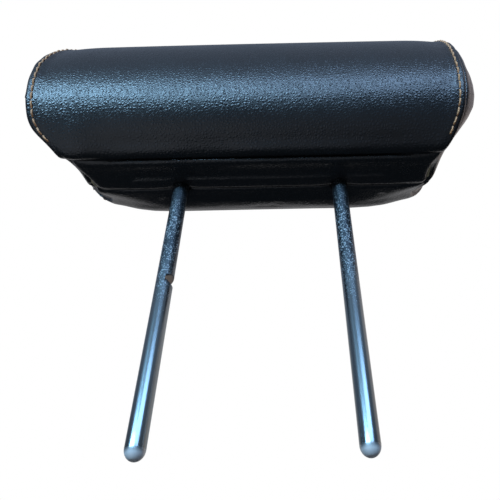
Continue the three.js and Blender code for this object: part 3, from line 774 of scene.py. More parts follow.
def add_rod(material):
    """Both posts and the crossbar between them, one bent rod with closed tips."""
    points, faces = [], []
    rings = rod_rings()
    for x, z, angle, r in rings:
        for k in range(ROD_SIDES):
            turn = 2 * math.pi * k / ROD_SIDES
            across = r * math.cos(turn)
            deep = r * math.sin(turn)
            points.append((x - across * math.cos(angle), deep, z + across * math.sin(angle)))
    for i in range(len(rings) - 1):
        for k in range(ROD_SIDES):
            a = i * ROD_SIDES + k
            b = i * ROD_SIDES + (k + 1) % ROD_SIDES
            faces.append((a, a + ROD_SIDES, b + ROD_SIDES, b))
    last = (len(rings) - 1) * ROD_SIDES
    faces.append(tuple(range(ROD_SIDES)))
    faces.append(tuple(last + k for k in reversed(range(ROD_SIDES))))
    return add_mesh("post_frame_chromed", points, faces, material)


def notch_wedge(material):
    """The wedge that cuts the lock notch into the inner side of the left post."""
    floor_x = -POST_SPACING / 2 + POST_DIAMETER / 2 - NOTCH_DEPTH
    mouth_x = floor_x + NOTCH_DEPTH + 1
    flare = (NOTCH_MOUTH - NOTCH_FLOOR) / 2 / NOTCH_DEPTH
    mouth = NOTCH_FLOOR / 2 + flare * (mouth_x - floor_x)
    outline = [
        (floor_x, -NOTCH_DROP - NOTCH_FLOOR / 2),
        (mouth_x, -NOTCH_DROP - mouth),
        (mouth_x, -NOTCH_DROP + mouth),
        (floor_x, -NOTCH_DROP + NOTCH_FLOOR / 2),
    ]
    points = [(x, y, z) for y in (-POST_DIAMETER, POST_DIAMETER) for x, z in outline]
    faces = [(0, 1, 2, 3), (7, 6, 5, 4), (1, 0, 4, 5), (2, 1, 5, 6), (3, 2, 6, 7), (0, 3, 7, 4)]
    return add_mesh("notch_wedge", points, faces, material, smooth_shaded=False)


def hole_pins(material):
    """Two pins that cut the holes of the posts into the covers."""
    points, faces = [], []
    sides = 48
    radius = POST_DIAMETER / 2 + HOLE_CLEARANCE
    for side in (-1, 1):
        base = len(points)
        axis_x = side * POST_SPACING / 2
        for z in PIN_LEVELS:
            for k in range(sides):
                turn = 2 * math.pi * k / sides
                points.append((axis_x + radius * math.cos(turn), radius * math.sin(turn), z))
        for k in range(sides):
            a, b = base + k, base + (k + 1) % sides
            faces.append((a, b, b + sides, a + sides))
        faces.append(tuple(base + k for k in reversed(range(sides))))
        faces.append(tuple(base + sides + k for k in range(sides)))
    return add_mesh("hole_pins", points, faces, material)


# Materials

def node(tree, kind, links=None, **settings):
    """Adds a node; links gives each input a value or the output it is joined to."""
    made = tree.nodes.new(kind)
    for name, value in settings.items():
        setattr(made, name, value)
    for name, value in (links or {}).items():
        socket = made.inputs[name]
        if isinstance(value, bpy.types.NodeSocket):
            tree.links.new(value, socket)
        else:
            socket.default_value = value
    return made


def new_material(name):
    material = bpy.data.materials.new(name)
    material.use_nodes = True
    material.node_tree.nodes.clear()
    return material, material.node_tree


def output_surface(tree, shader):
    node(tree, "ShaderNodeOutputMaterial", {"Surface": shader})


# Sizes of the patterns, in mm. The grain is drawn a little coarser than a real one, and the pits
# of the plating larger, so that they show in the render
GRAIN_PITCH = 1.9
GRAIN_WANDER = 0.6
GRAIN_RELIEF = 0.19
HANDLED_PATCH = 41.7
PIT_PITCH = 1
PIT_CLUSTER = 3.33
PIT_RELIEF = 0.12
WORN_FROM = -85
WORN_FULLY = -35
WORN_RAGGEDNESS = 50
RAGGED_PATCH = 16.7
# Close under the pad the pale pits thin out, as painted shade
UNDER_PAD_SHADE_FROM = -34
UNDER_PAD_SHADE_FULLY = -12
DRAW_STREAK = (1.11, 1.11, 71.4)
PLY_PITCH = 1.6
PLY_RELIEF = 0.1
FOAM_CELL = 0.8
FOAM_RELIEF = 0.3
AGED_PATCH = 33.3
ROLLING_MARK = (83.3, 0.667, 0.667)
OIL_STAIN = 25
STRIP_LINE = (50, 0.4, 0.4)


def per_size(sizes):
    """The scale at which a pattern repeats after these sizes in mm, along x, y and z."""
    return tuple(1 / (size * MM) for size in sizes)


def leatherette():
    """PVC-coated fabric embossed with a pebble grain: black, satin, grain tops a little polished."""
    material, tree = new_material("leatherette_black_pebble_grain")
    place = node(tree, "ShaderNodeTexCoord").outputs["Object"]
    grains = 1 / (GRAIN_PITCH * MM)
    wander = node(tree, "ShaderNodeTexNoise", {"Vector": place, "Scale": 0.9 * grains, "Detail": 1.0})
    shifted = node(
        tree,
        "ShaderNodeMixRGB",
        {"Fac": GRAIN_WANDER * MM, "Color1": place, "Color2": wander.outputs["Color"]},
        blend_type="ADD",
    )
    pebbles = node(
        tree,
        "ShaderNodeTexVoronoi",
        {"Vector": shifted.outputs["Color"], "Scale": grains, "Randomness": 0.95},
        feature="DISTANCE_TO_EDGE",
    )
    dome = node(
        tree,
        "ShaderNodeMapRange",
        {"Value": pebbles.outputs["Distance"], "From Min": 0.0, "From Max": 0.45},
        interpolation_type="SMOOTHSTEP",
    )
    fine = node(tree, "ShaderNodeTexNoise", {"Vector": place, "Scale": 2.2 * grains, "Detail": 1.0})
    height = node(
        tree,
        "ShaderNodeMath",
        {0: fine.outputs["Fac"], 1: 0.06, 2: dome.outputs["Result"]},
        operation="MULTIPLY_ADD",
    )
    relief = node(
        tree,
        "ShaderNodeBump",
        {"Strength": 0.6, "Distance": GRAIN_RELIEF * MM, "Height": height.outputs["Value"]},
    )
    # handling has left broad patches that shine more or less than the rest
    handled = node(
        tree,
        "ShaderNodeTexNoise",
        {"Vector": place, "Scale": 1 / (HANDLED_PATCH * MM), "Detail": 4.0, "Roughness": 0.6},
    )
    rough = node(
        tree,
        "ShaderNodeMapRange",
        {
            "Value": handled.outputs["Fac"],
            "From Min": 0.3,
            "From Max": 0.7,
            "To Min": 0.3,
            "To Max": 0.38,
        },
    )
    rougher = node(
        tree,
        "ShaderNodeMath",
        {0: dome.outputs["Result"], 1: -0.06, 2: rough.outputs["Result"]},
        operation="MULTIPLY_ADD",
    )
    tint = node(
        tree,
        "ShaderNodeMixRGB",
        {"Fac": dome.outputs["Result"], "Color1": linear("#0e0f11"), "Color2": linear("#1c1e22")},
    )
    skin = node(
        tree,
        "ShaderNodeBsdfPrincipled",
        {
            "Base Color": tint.outputs["Color"],
            "Roughness": rougher.outputs["Value"],
            "Specular IOR Level": 0.7,
            "Normal": relief.outputs["Normal"],
        },
    )
    output_surface(tree, skin.outputs["BSDF"])
    return material


def plating_wear(tree, place, height):
    """How worn the plating is: not at all on the lower posts, fully near the pad, with a ragged edge."""
    ragged = node(
        tree,
        "ShaderNodeTexNoise",
        {"Vector": place, "Scale": 1 / (RAGGED_PATCH * MM), "Detail": 5.0, "Roughness": 0.65},
    )
    edge = node(
        tree,
        "ShaderNodeMath",
        {0: ragged.outputs["Fac"], 1: WORN_RAGGEDNESS * MM, 2: height},
        operation="MULTIPLY_ADD",
    )
    worn = node(
        tree,
        "ShaderNodeMapRange",
        {"Value": edge.outputs["Value"], "From Min": WORN_FROM * MM, "From Max": WORN_FULLY * MM},
        interpolation_type="SMOOTHSTEP",
    )
    return worn.outputs["Result"]


def plating_pits(tree, place, height, worn):
    """Pits in the worn plating, fewer close under the pad as painted shade, so it shows darker there."""
    specks = node(tree, "ShaderNodeTexVoronoi", {"Vector": place, "Scale": 1 / (PIT_PITCH * MM)})
    cloud = node(
        tree,
        "ShaderNodeTexNoise",
        {"Vector": place, "Scale": 1 / (PIT_CLUSTER * MM), "Detail": 4.0, "Roughness": 0.7},
    )
    grit = node(
        tree,
        "ShaderNodeMath",
        {0: cloud.outputs["Fac"], 1: specks.outputs["Distance"]},
        operation="SUBTRACT",
    )
    spot = node(
        tree,
        "ShaderNodeMapRange",
        {"Value": grit.outputs["Value"], "From Min": 0.02, "From Max": 0.36},
        interpolation_type="SMOOTHSTEP",
    )
    # painted shade: fewer pale pits close under the pad, so the plating is darker there
    under_pad_shade = node(
        tree,
        "ShaderNodeMapRange",
        {
            "Value": height,
            "From Min": UNDER_PAD_SHADE_FROM * MM,
            "From Max": UNDER_PAD_SHADE_FULLY * MM,
            "To Min": 1.0,
            "To Max": 0.35,
        },
    )
    wear_and_under_pad_shade = node(
        tree,
        "ShaderNodeMath",
        {0: worn, 1: under_pad_shade.outputs["Result"]},
        operation="MULTIPLY",
    )
    pits = node(
        tree,
        "ShaderNodeMath",
        {0: spot.outputs["Result"], 1: wear_and_under_pad_shade.outputs["Value"]},
        operation="MULTIPLY",
    )
    return pits.outputs["Value"]


def notch_rub_and_light(tree, place, split):
    """Where the lock has rubbed the plating round the notch, and the notch's faces, painted with light.
    """
    from_notch = node(
        tree,
        "ShaderNodeVectorMath",
        {0: place, 1: ((-POST_SPACING / 2 + POST_DIAMETER / 2) * MM, 0.0, -NOTCH_DROP * MM)},
        operation="DISTANCE",
    )
    rubbed = node(
        tree,
        "ShaderNodeMapRange",
        {
            "Value": from_notch.outputs["Value"],
            "From Min": NOTCH_MOUTH / 2 * MM,
            "From Max": NOTCH_MOUTH * 0.65 * MM,
            "To Min": 1.0,
            "To Max": 0.0,
        },
    )
    across = node(tree, "ShaderNodeCombineXYZ", {"X": split.outputs["X"], "Y": split.outputs["Y"]})
    from_axis = node(
        tree,
        "ShaderNodeVectorMath",
        {0: across.outputs["Vector"], 1: (-POST_SPACING / 2 * MM, 0.0, 0.0)},
        operation="DISTANCE",
    )
    sunk = node(
        tree,
        "ShaderNodeMapRange",
        {
            "Value": from_axis.outputs["Value"],
            "From Min": (POST_DIAMETER / 2 - 0.1) * MM,
            "From Max": (POST_DIAMETER / 2 - 0.25) * MM,
        },
    )
    at_notch = node(
        tree,
        "ShaderNodeMapRange",
        {
            "Value": from_notch.outputs["Value"],
            "From Min": NOTCH_MOUTH * MM,
            "From Max": NOTCH_MOUTH * 0.9 * MM,
        },
    )
    painted_notch_light = node(
        tree,
        "ShaderNodeMath",
        {0: sunk.outputs["Result"], 1: at_notch.outputs["Result"]},
        operation="MULTIPLY",
    )
    return rubbed.outputs["Result"], painted_notch_light.outputs["Value"]


def plating_colour(tree, worn, pits, painted_notch_light, painted_tip_highlight):
    """Grey plating, darker where worn, with pale pits, painted notch light and painted tip highlights.
    """
    colour = node(
        tree,
        "ShaderNodeMixRGB",
        {"Fac": worn, "Color1": linear("#7c878b"), "Color2": linear("#4a5258")},
    )
    # the notch's inner faces get painted light, pale and warm, and the tips a painted highlight, nearly
    # white
    for share, code in ((pits, "#b4bcc0"), (painted_notch_light, "#e8d8c8"), (painted_tip_highlight, "#f6f8f8")):
        colour = node(
            tree,
            "ShaderNodeMixRGB",
            {"Fac": share, "Color1": colour.outputs["Color"], "Color2": linear(code)},
        )
    return colour.outputs["Color"]


def plating_roughness(tree, place, worn, pits, tip, rubbed):
    """Smooth with fine draw streaks, rougher where the plating is worn, pitted or rubbed, and at the
    tips.
    """
    plain = node(tree, "ShaderNodeMapRange", {"Value": worn, "To Min": 0.16, "To Max": 0.33})
    tip_dulling = node(tree, "ShaderNodeMath", {0: tip, 1: 0.3}, operation="MULTIPLY")
    rub_dulling = node(tree, "ShaderNodeMath", {0: rubbed, 1: 0.4}, operation="MULTIPLY")
    matt = node(
        tree,
        "ShaderNodeMath",
        {0: tip_dulling.outputs["Value"], 1: rub_dulling.outputs["Value"]},
        operation="MAXIMUM",
    )
    dulled = node(
        tree,
        "ShaderNodeMath",
        {0: plain.outputs["Result"], 1: matt.outputs["Value"]},
        operation="ADD",
    )
    stretched = node(tree, "ShaderNodeMapping", {"Vector": place, "Scale": per_size(DRAW_STREAK)})
    streaks = node(
        tree,
        "ShaderNodeTexNoise",
        {"Vector": stretched.outputs["Vector"], "Scale": 1.0, "Detail": 3.0},
    )
    streaked = node(
        tree,
        "ShaderNodeMath",
        {0: streaks.outputs["Fac"], 1: 0.14, 2: dulled.outputs["Value"]},
        operation="MULTIPLY_ADD",
    )
    rough = node(
        tree,
        "ShaderNodeMath",
        {0: pits, 1: 0.3, 2: streaked.outputs["Value"]},
        operation="MULTIPLY_ADD",
    )
    return rough.outputs["Value"]


def chromed_steel():
    """Nickel-chrome plating on drawn steel rod: bright grey and faintly streaked, dull and pitted near
    the pad, with painted shade close under it. The notch's faces carry painted light, pale and warm,
    and the rounded tips a painted highlight, nearly white; both are matt.
    """
    material, tree = new_material("chromed_steel_pitted")
    place = node(tree, "ShaderNodeTexCoord").outputs["Object"]
    split = node(tree, "ShaderNodeSeparateXYZ", {"Vector": place})
    height = split.outputs["Z"]
    worn = plating_wear(tree, place, height)
    pits = plating_pits(tree, place, height, worn)
    rubbed, painted_notch_light = notch_rub_and_light(tree, place, split)
    tip = node(
        tree,
        "ShaderNodeMapRange",
        {
            "Value": height,
            "From Min": (-POST_LENGTH + POST_TIP_ROUND) * MM,
            "From Max": (-POST_LENGTH + POST_TIP_ROUND / 2) * MM,
        },
    ).outputs["Result"]
    # the rounded tips are painted nearly white: a painted highlight
    painted_tip_highlight = node(tree, "ShaderNodeMath", {0: tip, 1: 0.78}, operation="MULTIPLY").outputs["Value"]
    relief = node(
        tree,
        "ShaderNodeBump",
        {"Strength": 0.5, "Distance": PIT_RELIEF * MM, "Height": pits},
    )
    # pits, the notch's painted light and the tips' painted highlight are less metallic than the plating
    pits_or_notch_light = node(tree, "ShaderNodeMath", {0: pits, 1: painted_notch_light}, operation="MAXIMUM")
    matt_share = node(
        tree,
        "ShaderNodeMath",
        {0: pits_or_notch_light.outputs["Value"], 1: painted_tip_highlight},
        operation="MAXIMUM",
    )
    metallic = node(
        tree,
        "ShaderNodeMath",
        {0: matt_share.outputs["Value"], 1: -0.75, 2: 1.0},
        operation="MULTIPLY_ADD",
    )
    metal = node(
        tree,
        "ShaderNodeBsdfPrincipled",
        {
            "Base Color": plating_colour(tree, worn, pits, painted_notch_light, painted_tip_highlight),
            "Metallic": metallic.outputs["Value"],
            "Roughness": plating_roughness(tree, place, worn, pits, tip, rubbed),
            "Normal": relief.outputs["Normal"],
        },
    )
    output_surface(tree, metal.outputs["BSDF"])
    return material


def sewing_thread():
    """Bonded polyester thread, copper-coloured: soft sheen, with the twist of its three plies."""
    material, tree = new_material("polyester_thread_copper")
    place = node(tree, "ShaderNodeTexCoord").outputs["Object"]
    plies = node(
        tree,
        "ShaderNodeTexWave",
        {"Vector": place, "Scale": 1 / (PLY_PITCH * MM), "Distortion": 1.5},
        wave_type="BANDS",
        bands_direction="DIAGONAL",
    )
    tint = node(
        tree,
        "ShaderNodeMixRGB",
        {"Fac": plies.outputs["Fac"], "Color1": linear("#c07c48"), "Color2": linear("#f2b680")},
    )
    relief = node(
        tree,
        "ShaderNodeBump",
        {"Strength": 0.6, "Distance": PLY_RELIEF * MM, "Height": plies.outputs["Fac"]},
    )
    thread = node(
        tree,
        "ShaderNodeBsdfPrincipled",
        {
            "Base Color": tint.outputs["Color"],
            "Roughness": 0.55,
            "Sheen Weight": 0.3,
            "Normal": relief.outputs["Normal"],
        },
    )
    output_surface(tree, thread.outputs["BSDF"])
    return material


def moulded_foam():
    """Cold-moulded polyurethane foam: cream, matt, with a skin of small open cells."""
    material, tree = new_material("polyurethane_foam")
    place = node(tree, "ShaderNodeTexCoord").outputs["Object"]
    cells = node(tree, "ShaderNodeTexVoronoi", {"Vector": place, "Scale": 1 / (FOAM_CELL * MM)})
    aged = node(
        tree,
        "ShaderNodeTexNoise",
        {"Vector": place, "Scale": 1 / (AGED_PATCH * MM), "Detail": 4.0},
    )
    tint = node(
        tree,
        "ShaderNodeMixRGB",
        {"Fac": aged.outputs["Fac"], "Color1": linear("#d8cfae"), "Color2": linear("#c4b78d")},
    )
    relief = node(
        tree,
        "ShaderNodeBump",
        {"Strength": 0.5, "Distance": FOAM_RELIEF * MM, "Height": cells.outputs["Distance"]},
    )
    body = node(
        tree,
        "ShaderNodeBsdfPrincipled",
        {"Base Color": tint.outputs["Color"], "Roughness": 0.9, "Normal": relief.outputs["Normal"]},
    )
    output_surface(tree, body.outputs["BSDF"])
    return material


def pressed_sheet():
    """Cold-rolled steel sheet, pressed and left bare: dull, with rolling marks and oil stains."""
    material, tree = new_material("cold_rolled_steel_sheet")
    place = node(tree, "ShaderNodeTexCoord").outputs["Object"]
    stretched = node(tree, "ShaderNodeMapping", {"Vector": place, "Scale": per_size(ROLLING_MARK)})
    rolled = node(
        tree,
        "ShaderNodeTexNoise",
        {"Vector": stretched.outputs["Vector"], "Scale": 1.0, "Detail": 4.0},
    )
    stain = node(
        tree,
        "ShaderNodeTexNoise",
        {"Vector": place, "Scale": 1 / (OIL_STAIN * MM), "Detail": 3.0},
    )
    tint = node(
        tree,
        "ShaderNodeMixRGB",
        {"Fac": stain.outputs["Fac"], "Color1": linear("#8a8d92"), "Color2": linear("#6d6c6a")},
    )
    rough = node(
        tree,
        "ShaderNodeMapRange",
        {"Value": rolled.outputs["Fac"], "To Min": 0.32, "To Max": 0.5},
    )
    metal = node(
        tree,
        "ShaderNodeBsdfPrincipled",
        {"Base Color": tint.outputs["Color"], "Metallic": 1.0, "Roughness": rough.outputs["Result"]},
    )
    output_surface(tree, metal.outputs["BSDF"])
    return material


def strip_plastic():
    """Extruded polypropylene, black: waxy, with faint draw lines along its length."""
    material, tree = new_material("polypropylene_extruded")
    place = node(tree, "ShaderNodeTexCoord").outputs["Object"]
    stretched = node(tree, "ShaderNodeMapping", {"Vector": place, "Scale": per_size(STRIP_LINE)})
    drawn = node(
        tree,
        "ShaderNodeTexNoise",
        {"Vector": stretched.outputs["Vector"], "Scale": 1.0, "Detail": 2.0},
    )
    tint = node(
        tree,
        "ShaderNodeMixRGB",
        {"Fac": drawn.outputs["Fac"], "Color1": linear("#1d1e20"), "Color2": linear("#2b2c2e")},
    )
    rough = node(
        tree,
        "ShaderNodeMapRange",
        {"Value": drawn.outputs["Fac"], "To Min": 0.42, "To Max": 0.6},
    )
    body = node(
        tree,
        "ShaderNodeBsdfPrincipled",
        {"Base Color": tint.outputs["Color"], "Roughness": rough.outputs["Result"]},
    )
    output_surface(tree, body.outputs["BSDF"])
    return material


def studio_floor():
    """Matt studio paint: white with the object's shadow to the camera, and darker to all other rays."""
    material, tree = new_material("studio_floor_paint")
    camera_ray = node(tree, "ShaderNodeLightPath").outputs["Is Camera Ray"]
    paint = node(tree, "ShaderNodeBsdfDiffuse", {"Color": linear("#e6e6e4")})
    shaded = node(tree, "ShaderNodeBsdfDiffuse", {"Color": linear("#4a4a49")})
    white = node(tree, "ShaderNodeEmission", {"Color": (1, 1, 1, 1), "Strength": 0.55})
    lifted = node(tree, "ShaderNodeAddShader", {0: paint.outputs["BSDF"], 1: white.outputs["Emission"]})
    shown = node(
        tree,
        "ShaderNodeMixShader",
        {"Fac": camera_ray, 1: shaded.outputs["BSDF"], 2: lifted.outputs["Shader"]},
    )
    output_surface(tree, shown.outputs["Shader"])
    return material


# Stitches

def one_stitch(tree, given):
    """An arch of thread that dips into the cover at both ends.

    Its handle lies at twice the rise plus the dip, which makes the arch as high as the rise.
    """
    half = node(tree, "ShaderNodeMath", {0: given["Stitch length"], 1: 0.5}, operation="MULTIPLY")
    back_half = node(tree, "ShaderNodeMath", {0: given["Stitch length"], 1: -0.5}, operation="MULTIPLY")
    down = node(tree, "ShaderNodeMath", {0: given["Dip"], 1: -1.0}, operation="MULTIPLY")
    top = node(
        tree,
        "ShaderNodeMath",
        {0: given["Rise"], 1: 2.0, 2: given["Dip"]},
        operation="MULTIPLY_ADD",
    )
    start = node(
        tree,
        "ShaderNodeCombineXYZ",
        {"X": back_half.outputs["Value"], "Z": down.outputs["Value"]},
    )
    middle = node(tree, "ShaderNodeCombineXYZ", {"Z": top.outputs["Value"]})
    end = node(tree, "ShaderNodeCombineXYZ", {"X": half.outputs["Value"], "Z": down.outputs["Value"]})
    arch = node(
        tree,
        "GeometryNodeCurveQuadraticBezier",
        {
            "Resolution": 8,
            "Start": start.outputs["Vector"],
            "Middle": middle.outputs["Vector"],
            "End": end.outputs["Vector"],
        },
    )
    radius = node(tree, "ShaderNodeMath", {0: given["Thread diameter"], 1: 0.5}, operation="MULTIPLY")
    profile = node(
        tree,
        "GeometryNodeCurvePrimitiveCircle",
        {"Resolution": 8, "Radius": radius.outputs["Value"]},
    )
    stitch = node(
        tree,
        "GeometryNodeCurveToMesh",
        {
            "Curve": arch.outputs["Curve"],
            "Profile Curve": profile.outputs["Curve"],
            "Fill Caps": True,
        },
    )
    return stitch.outputs["Mesh"]


def stitch_tree(thread):
    """Lays stitches along a mesh line, whose attribute outward says which way is out of the cover."""
    tree = bpy.data.node_groups.new("topstitching", "GeometryNodeTree")
    tree.interface.new_socket("Geometry", in_out="INPUT", socket_type="NodeSocketGeometry")
    sizes = {
        "Pitch": STITCH_PITCH * MM,
        "Stitch length": STITCH_LENGTH * MM,
        "Thread diameter": THREAD_DIAMETER * MM,
        "Rise": STITCH_RISE * MM,
        "Dip": STITCH_DIP * MM,
    }
    for name, value in sizes.items():
        socket = tree.interface.new_socket(name, in_out="INPUT", socket_type="NodeSocketFloat")
        socket.default_value = value
    seed = tree.interface.new_socket("Seed", in_out="INPUT", socket_type="NodeSocketInt")
    seed.default_value = STITCH_SEED
    tree.interface.new_socket("Geometry", in_out="OUTPUT", socket_type="NodeSocketGeometry")
    given = node(tree, "NodeGroupInput").outputs
    outward = node(
        tree,
        "GeometryNodeInputNamedAttribute",
        {"Name": "outward"},
        data_type="FLOAT_VECTOR",
    )
    line = node(tree, "GeometryNodeMeshToCurve", {"Mesh": given["Geometry"]})
    kept = node(
        tree,
        "GeometryNodeResampleCurve",
        {"Curve": line.outputs["Curve"], "Length": given["Pitch"]},
        mode="LENGTH",
    )
    tangent = node(tree, "GeometryNodeInputTangent")
    along = node(
        tree,
        "FunctionNodeAxesToRotation",
        {"Primary Axis": outward.outputs["Attribute"], "Secondary Axis": tangent.outputs["Tangent"]},
        primary_axis="Z",
        secondary_axis="X",
    )
    slant = node(
        tree,
        "FunctionNodeRandomValue",
        {"Min": -STITCH_SLANT, "Max": STITCH_SLANT, "Seed": given["Seed"]},
        data_type="FLOAT",
    )
    slant_angle = next(s for s in slant.outputs if s.enabled)
    turn = node(
        tree,
        "FunctionNodeAxisAngleToRotation",
        {"Axis": (0.0, 0.0, 1.0), "Angle": slant_angle},
    )
    turned = node(
        tree,
        "FunctionNodeRotateRotation",
        {"Rotation": along.outputs["Rotation"], "Rotate By": turn.outputs["Rotation"]},
        rotation_space="LOCAL",
    )
    laid = node(
        tree,
        "GeometryNodeInstanceOnPoints",
        {
            "Points": kept.outputs["Curve"],
            "Instance": one_stitch(tree, given),
            "Rotation": turned.outputs["Rotation"],
        },
    )
    real = node(tree, "GeometryNodeRealizeInstances", {"Geometry": laid.outputs["Instances"]})
    smoothed = node(tree, "GeometryNodeSetShadeSmooth", {"Geometry": real.outputs["Geometry"]})
    painted = node(
        tree,
        "GeometryNodeSetMaterial",
        {"Geometry": smoothed.outputs["Geometry"], "Material": thread},
    )
    node(tree, "NodeGroupOutput", {"Geometry": painted.outputs["Geometry"]})
    return tree, sizes


def stitch_line(net, points, normals, side):
    """The line that one end's topstitching follows on the front and back covers, with its normals."""
    index = net["index"][:, ::-1] if side > 0 else net["index"]
    front = (net["row_panel"] == FRONT) & (net["row_height"] > FRONT_STITCH_END_HEIGHT)
    upper_back = (net["row_panel"] == BACK) & (net["row_height"] > BACK_STITCH_END_HEIGHT)
    rows = np.concatenate([np.flatnonzero(front), np.flatnonzero(upper_back)])
    distances = net["to_end"][index[0]]
    column = int(np.argmin(np.abs(distances[: len(distances) // 2] - STITCH_INSET)))
    line = index[rows, column]
    return points[line], normals[line]


def add_stitches(name, line, outward, tree, sizes):
    """One row of topstitching as a plain mesh."""
    edges = [(i, i + 1) for i in range(len(line) - 1)]
    mesh = bpy.data.meshes.new(name)
    mesh.from_pydata((line * MM).tolist(), edges, [])
    attribute = mesh.attributes.new("outward", "FLOAT_VECTOR", "POINT")
    attribute.data.foreach_set("vector", outward.astype(np.float32).ravel())
    obj = bpy.data.objects.new(name, mesh)
    bpy.context.scene.collection.objects.link(obj)
    modifier = obj.modifiers.new("topstitching", "NODES")
    modifier.node_group = tree
    for item in tree.interface.items_tree:
        if item.in_out == "INPUT" and item.name in sizes:
            modifier[item.identifier] = sizes[item.name]
    make_plain_mesh(obj)
    return obj


# The headrest

leather = leatherette()
thread = sewing_thread()
chrome = chromed_steel()

net = build_net()
net["points"] = taut_ends(net)
# the simulated covers swell, so they start from a slightly smaller shape
shrink = CLOTH_START * away_from_seams(net)
swelling = blown_up(net)
net["points"] = net["points"] + swelling - shrink * net_normals(net["points"], net["faces"])
net["points"] = laid_on_foam(net)
sewn_points, net_directions = sew(net)
sewn_points = eased_corners(sewn_points, net["faces"])
inward_directions = net_normals(sewn_points, net["faces"])
pins = hole_pins(leather)
for number, panel in enumerate(PANELS):
    shell_points, shell_faces = panel_shell(net, sewn_points, inward_directions, number)
    cover = add_mesh(panel + "_leatherette", shell_points, shell_faces, leather)
    if panel in ("back_cover", "underside_cover"):
        cut(cover, pins)
        drop_pin_walls(cover)
    finish_piece(cover, [panel])
bpy.data.objects.remove(pins)

stitching, stitch_sizes = stitch_tree(thread)
for side, label in ((-1, "left"), (1, "right")):
    line, outward = stitch_line(net, sewn_points, net_directions, side)
    stitches = add_stitches(label + "_topstitching", line, outward, stitching, stitch_sizes)
    finish_piece(stitches)

rod = add_rod(chrome)
wedge = notch_wedge(chrome)
cut(rod, wedge)
bpy.data.objects.remove(wedge)
finish_piece(rod, ["post_frame"])

inner_finishes = {"foam_core": moulded_foam(), "support_plate": pressed_sheet()}
strip_finish = strip_plastic()
for name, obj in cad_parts.items():
    if name in inner_finishes or name.startswith("closure"):
        obj.data.materials.clear()
        obj.data.materials.append(inner_finishes.get(name, strip_finish))


# Studio, with the floor's sizes in mm

FLOOR_SIDE = 6000
FLOOR_DROP = 950


def add_floor():
    half = FLOOR_SIDE / 2
    level = -FLOOR_DROP
    corners = [(-half, -half, level), (half, -half, level), (half, half, level), (-half, half, level)]
    floor = add_mesh("studio_floor", corners, [(0, 1, 2, 3)], studio_floor(), smooth_shaded=False)


def add_lamp(name, azimuth, elevation, radiance, colour, distance):
    """A soft rectangular lamp that fills a window of directions seen from the pad, in degrees.

    Azimuth 0 is straight ahead of the headrest and grows to the right.
    """
    turn, rise = (math.radians(sum(pair) / 2) for pair in (azimuth, elevation))
    wide, tall = (math.radians(pair[1] - pair[0]) for pair in (azimuth, elevation))
    out = Vector((math.sin(turn) * math.cos(rise), -math.cos(turn) * math.cos(rise), math.sin(rise)))
    data = bpy.data.lights.new(name, "AREA")
    data.shape = "RECTANGLE"
    data.size = 2 * distance * math.cos(rise) * math.tan(wide / 2)
    data.size_y = 2 * distance * math.tan(tall / 2)
    data.energy = radiance * math.pi * data.size * data.size_y
    data.color = linear(colour)[:3]
    lamp = bpy.data.objects.new(name, data)
    lamp.location = out * distance + Vector((0, 0, NOSE_HEIGHT * MM))
    lamp.rotation_euler = (-out).to_track_quat("-Z", "Y").to_euler()
    bpy.context.scene.collection.objects.link(lamp)


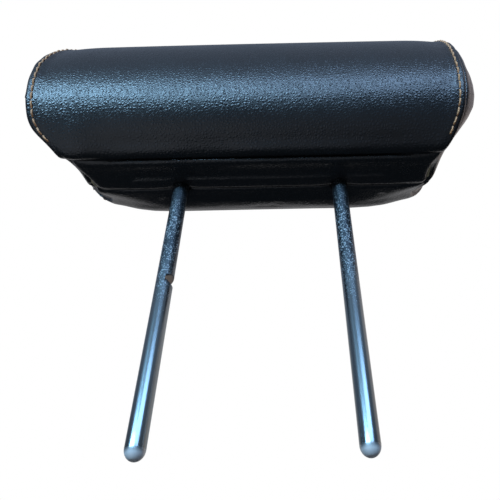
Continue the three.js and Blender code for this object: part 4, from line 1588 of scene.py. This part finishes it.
def light_world():
    """White to the camera. Other rays see a plain dim room, with a pale backdrop if they are glossy."""
    world = bpy.data.worlds.new("studio")
    bpy.context.scene.world = world
    world.use_nodes = True
    tree = world.node_tree
    tree.nodes.clear()
    direction = node(tree, "ShaderNodeTexCoord").outputs["Generated"]
    split = node(tree, "ShaderNodeSeparateXYZ", {"Vector": direction}).outputs
    upward = node(
        tree,
        "ShaderNodeMapRange",
        {"Value": split["Z"], "From Min": 0.05, "From Max": 0.6},
        interpolation_type="SMOOTHSTEP",
    )
    room = node(
        tree,
        "ShaderNodeMixRGB",
        {"Fac": upward.outputs["Result"], "Color1": linear("#1e1e1e"), "Color2": linear("#8490a4")},
    )
    behind = node(
        tree,
        "ShaderNodeMapRange",
        {"Value": split["Y"], "From Min": 0.3, "From Max": 0.85},
        interpolation_type="SMOOTHSTEP",
    )
    shiny_ray = node(tree, "ShaderNodeLightPath").outputs["Is Glossy Ray"]
    shown_behind = node(
        tree,
        "ShaderNodeMath",
        {0: behind.outputs["Result"], 1: shiny_ray},
        operation="MULTIPLY",
    )
    backdrop = node(
        tree,
        "ShaderNodeMixRGB",
        {
            "Fac": shown_behind.outputs["Value"],
            "Color1": room.outputs["Color"],
            "Color2": linear("#c9c9cc"),
        },
    )
    camera_ray = node(tree, "ShaderNodeLightPath").outputs["Is Camera Ray"]
    seen = node(
        tree,
        "ShaderNodeMixRGB",
        {"Fac": camera_ray, "Color1": backdrop.outputs["Color"], "Color2": (1, 1, 1, 1)},
    )
    glow = node(tree, "ShaderNodeBackground", {"Color": seen.outputs["Color"], "Strength": 1.0})
    node(tree, "ShaderNodeOutputWorld", {"Surface": glow.outputs["Background"]})


def add_camera():
    """The camera that was fitted to the photo."""
    data = bpy.data.cameras.new("camera")
    data.sensor_width = SENSOR
    data.lens = FOCAL_PIXELS / PHOTO_SIDE * SENSOR
    data.shift_x = (PHOTO_SIDE / 2 - AXIS_PIXEL[0]) / PHOTO_SIDE
    data.shift_y = (AXIS_PIXEL[1] - PHOTO_SIDE / 2) / PHOTO_SIDE
    azimuth, elevation, roll = map(math.radians, (CAMERA_AZIMUTH, CAMERA_ELEVATION, CAMERA_ROLL))
    back = Vector(
        (
            math.sin(azimuth) * math.cos(elevation),
            -math.cos(azimuth) * math.cos(elevation),
            math.sin(elevation),
        )
    )
    level_right = (-back).cross(Vector((0, 0, 1))).normalized()
    level_up = level_right.cross(-back)
    right = level_right * math.cos(roll) + level_up * math.sin(roll)
    up = -level_right * math.sin(roll) + level_up * math.cos(roll)
    camera = bpy.data.objects.new("camera", data)
    turn = Matrix((right, up, back)).transposed()
    camera.matrix_world = Matrix.Translation(Vector(CAMERA_PLACE)) @ turn.to_4x4()
    bpy.context.scene.collection.objects.link(camera)
    bpy.context.scene.camera = camera


add_floor()
add_camera()
light_world()
# two wide windows above the front, two dim walls below it and a faint warm side
for name, azimuth, elevation, radiance, colour, distance in (
    ("left_window", (-50, -4), (11, 18), 34, "#a6d9ff", 4.0),
    ("right_window", (-5, 34), (15, 27), 11, "#a9d1ff", 4.0),
    ("low_left_wall", (-75, -12), (-75, -20), 0.42, "#e6e8f0", 1.0),
    ("low_front_wall", (-12, 50), (-75, -20), 0.12, "#f0e6e6", 1.0),
    ("warm_side", (80, 140), (5, 55), 0.4, "#ffe0c8", 4.0),
):
    add_lamp(name, azimuth, elevation, radiance, colour, distance)
bpy.context.scene.view_settings.view_transform = "Standard"
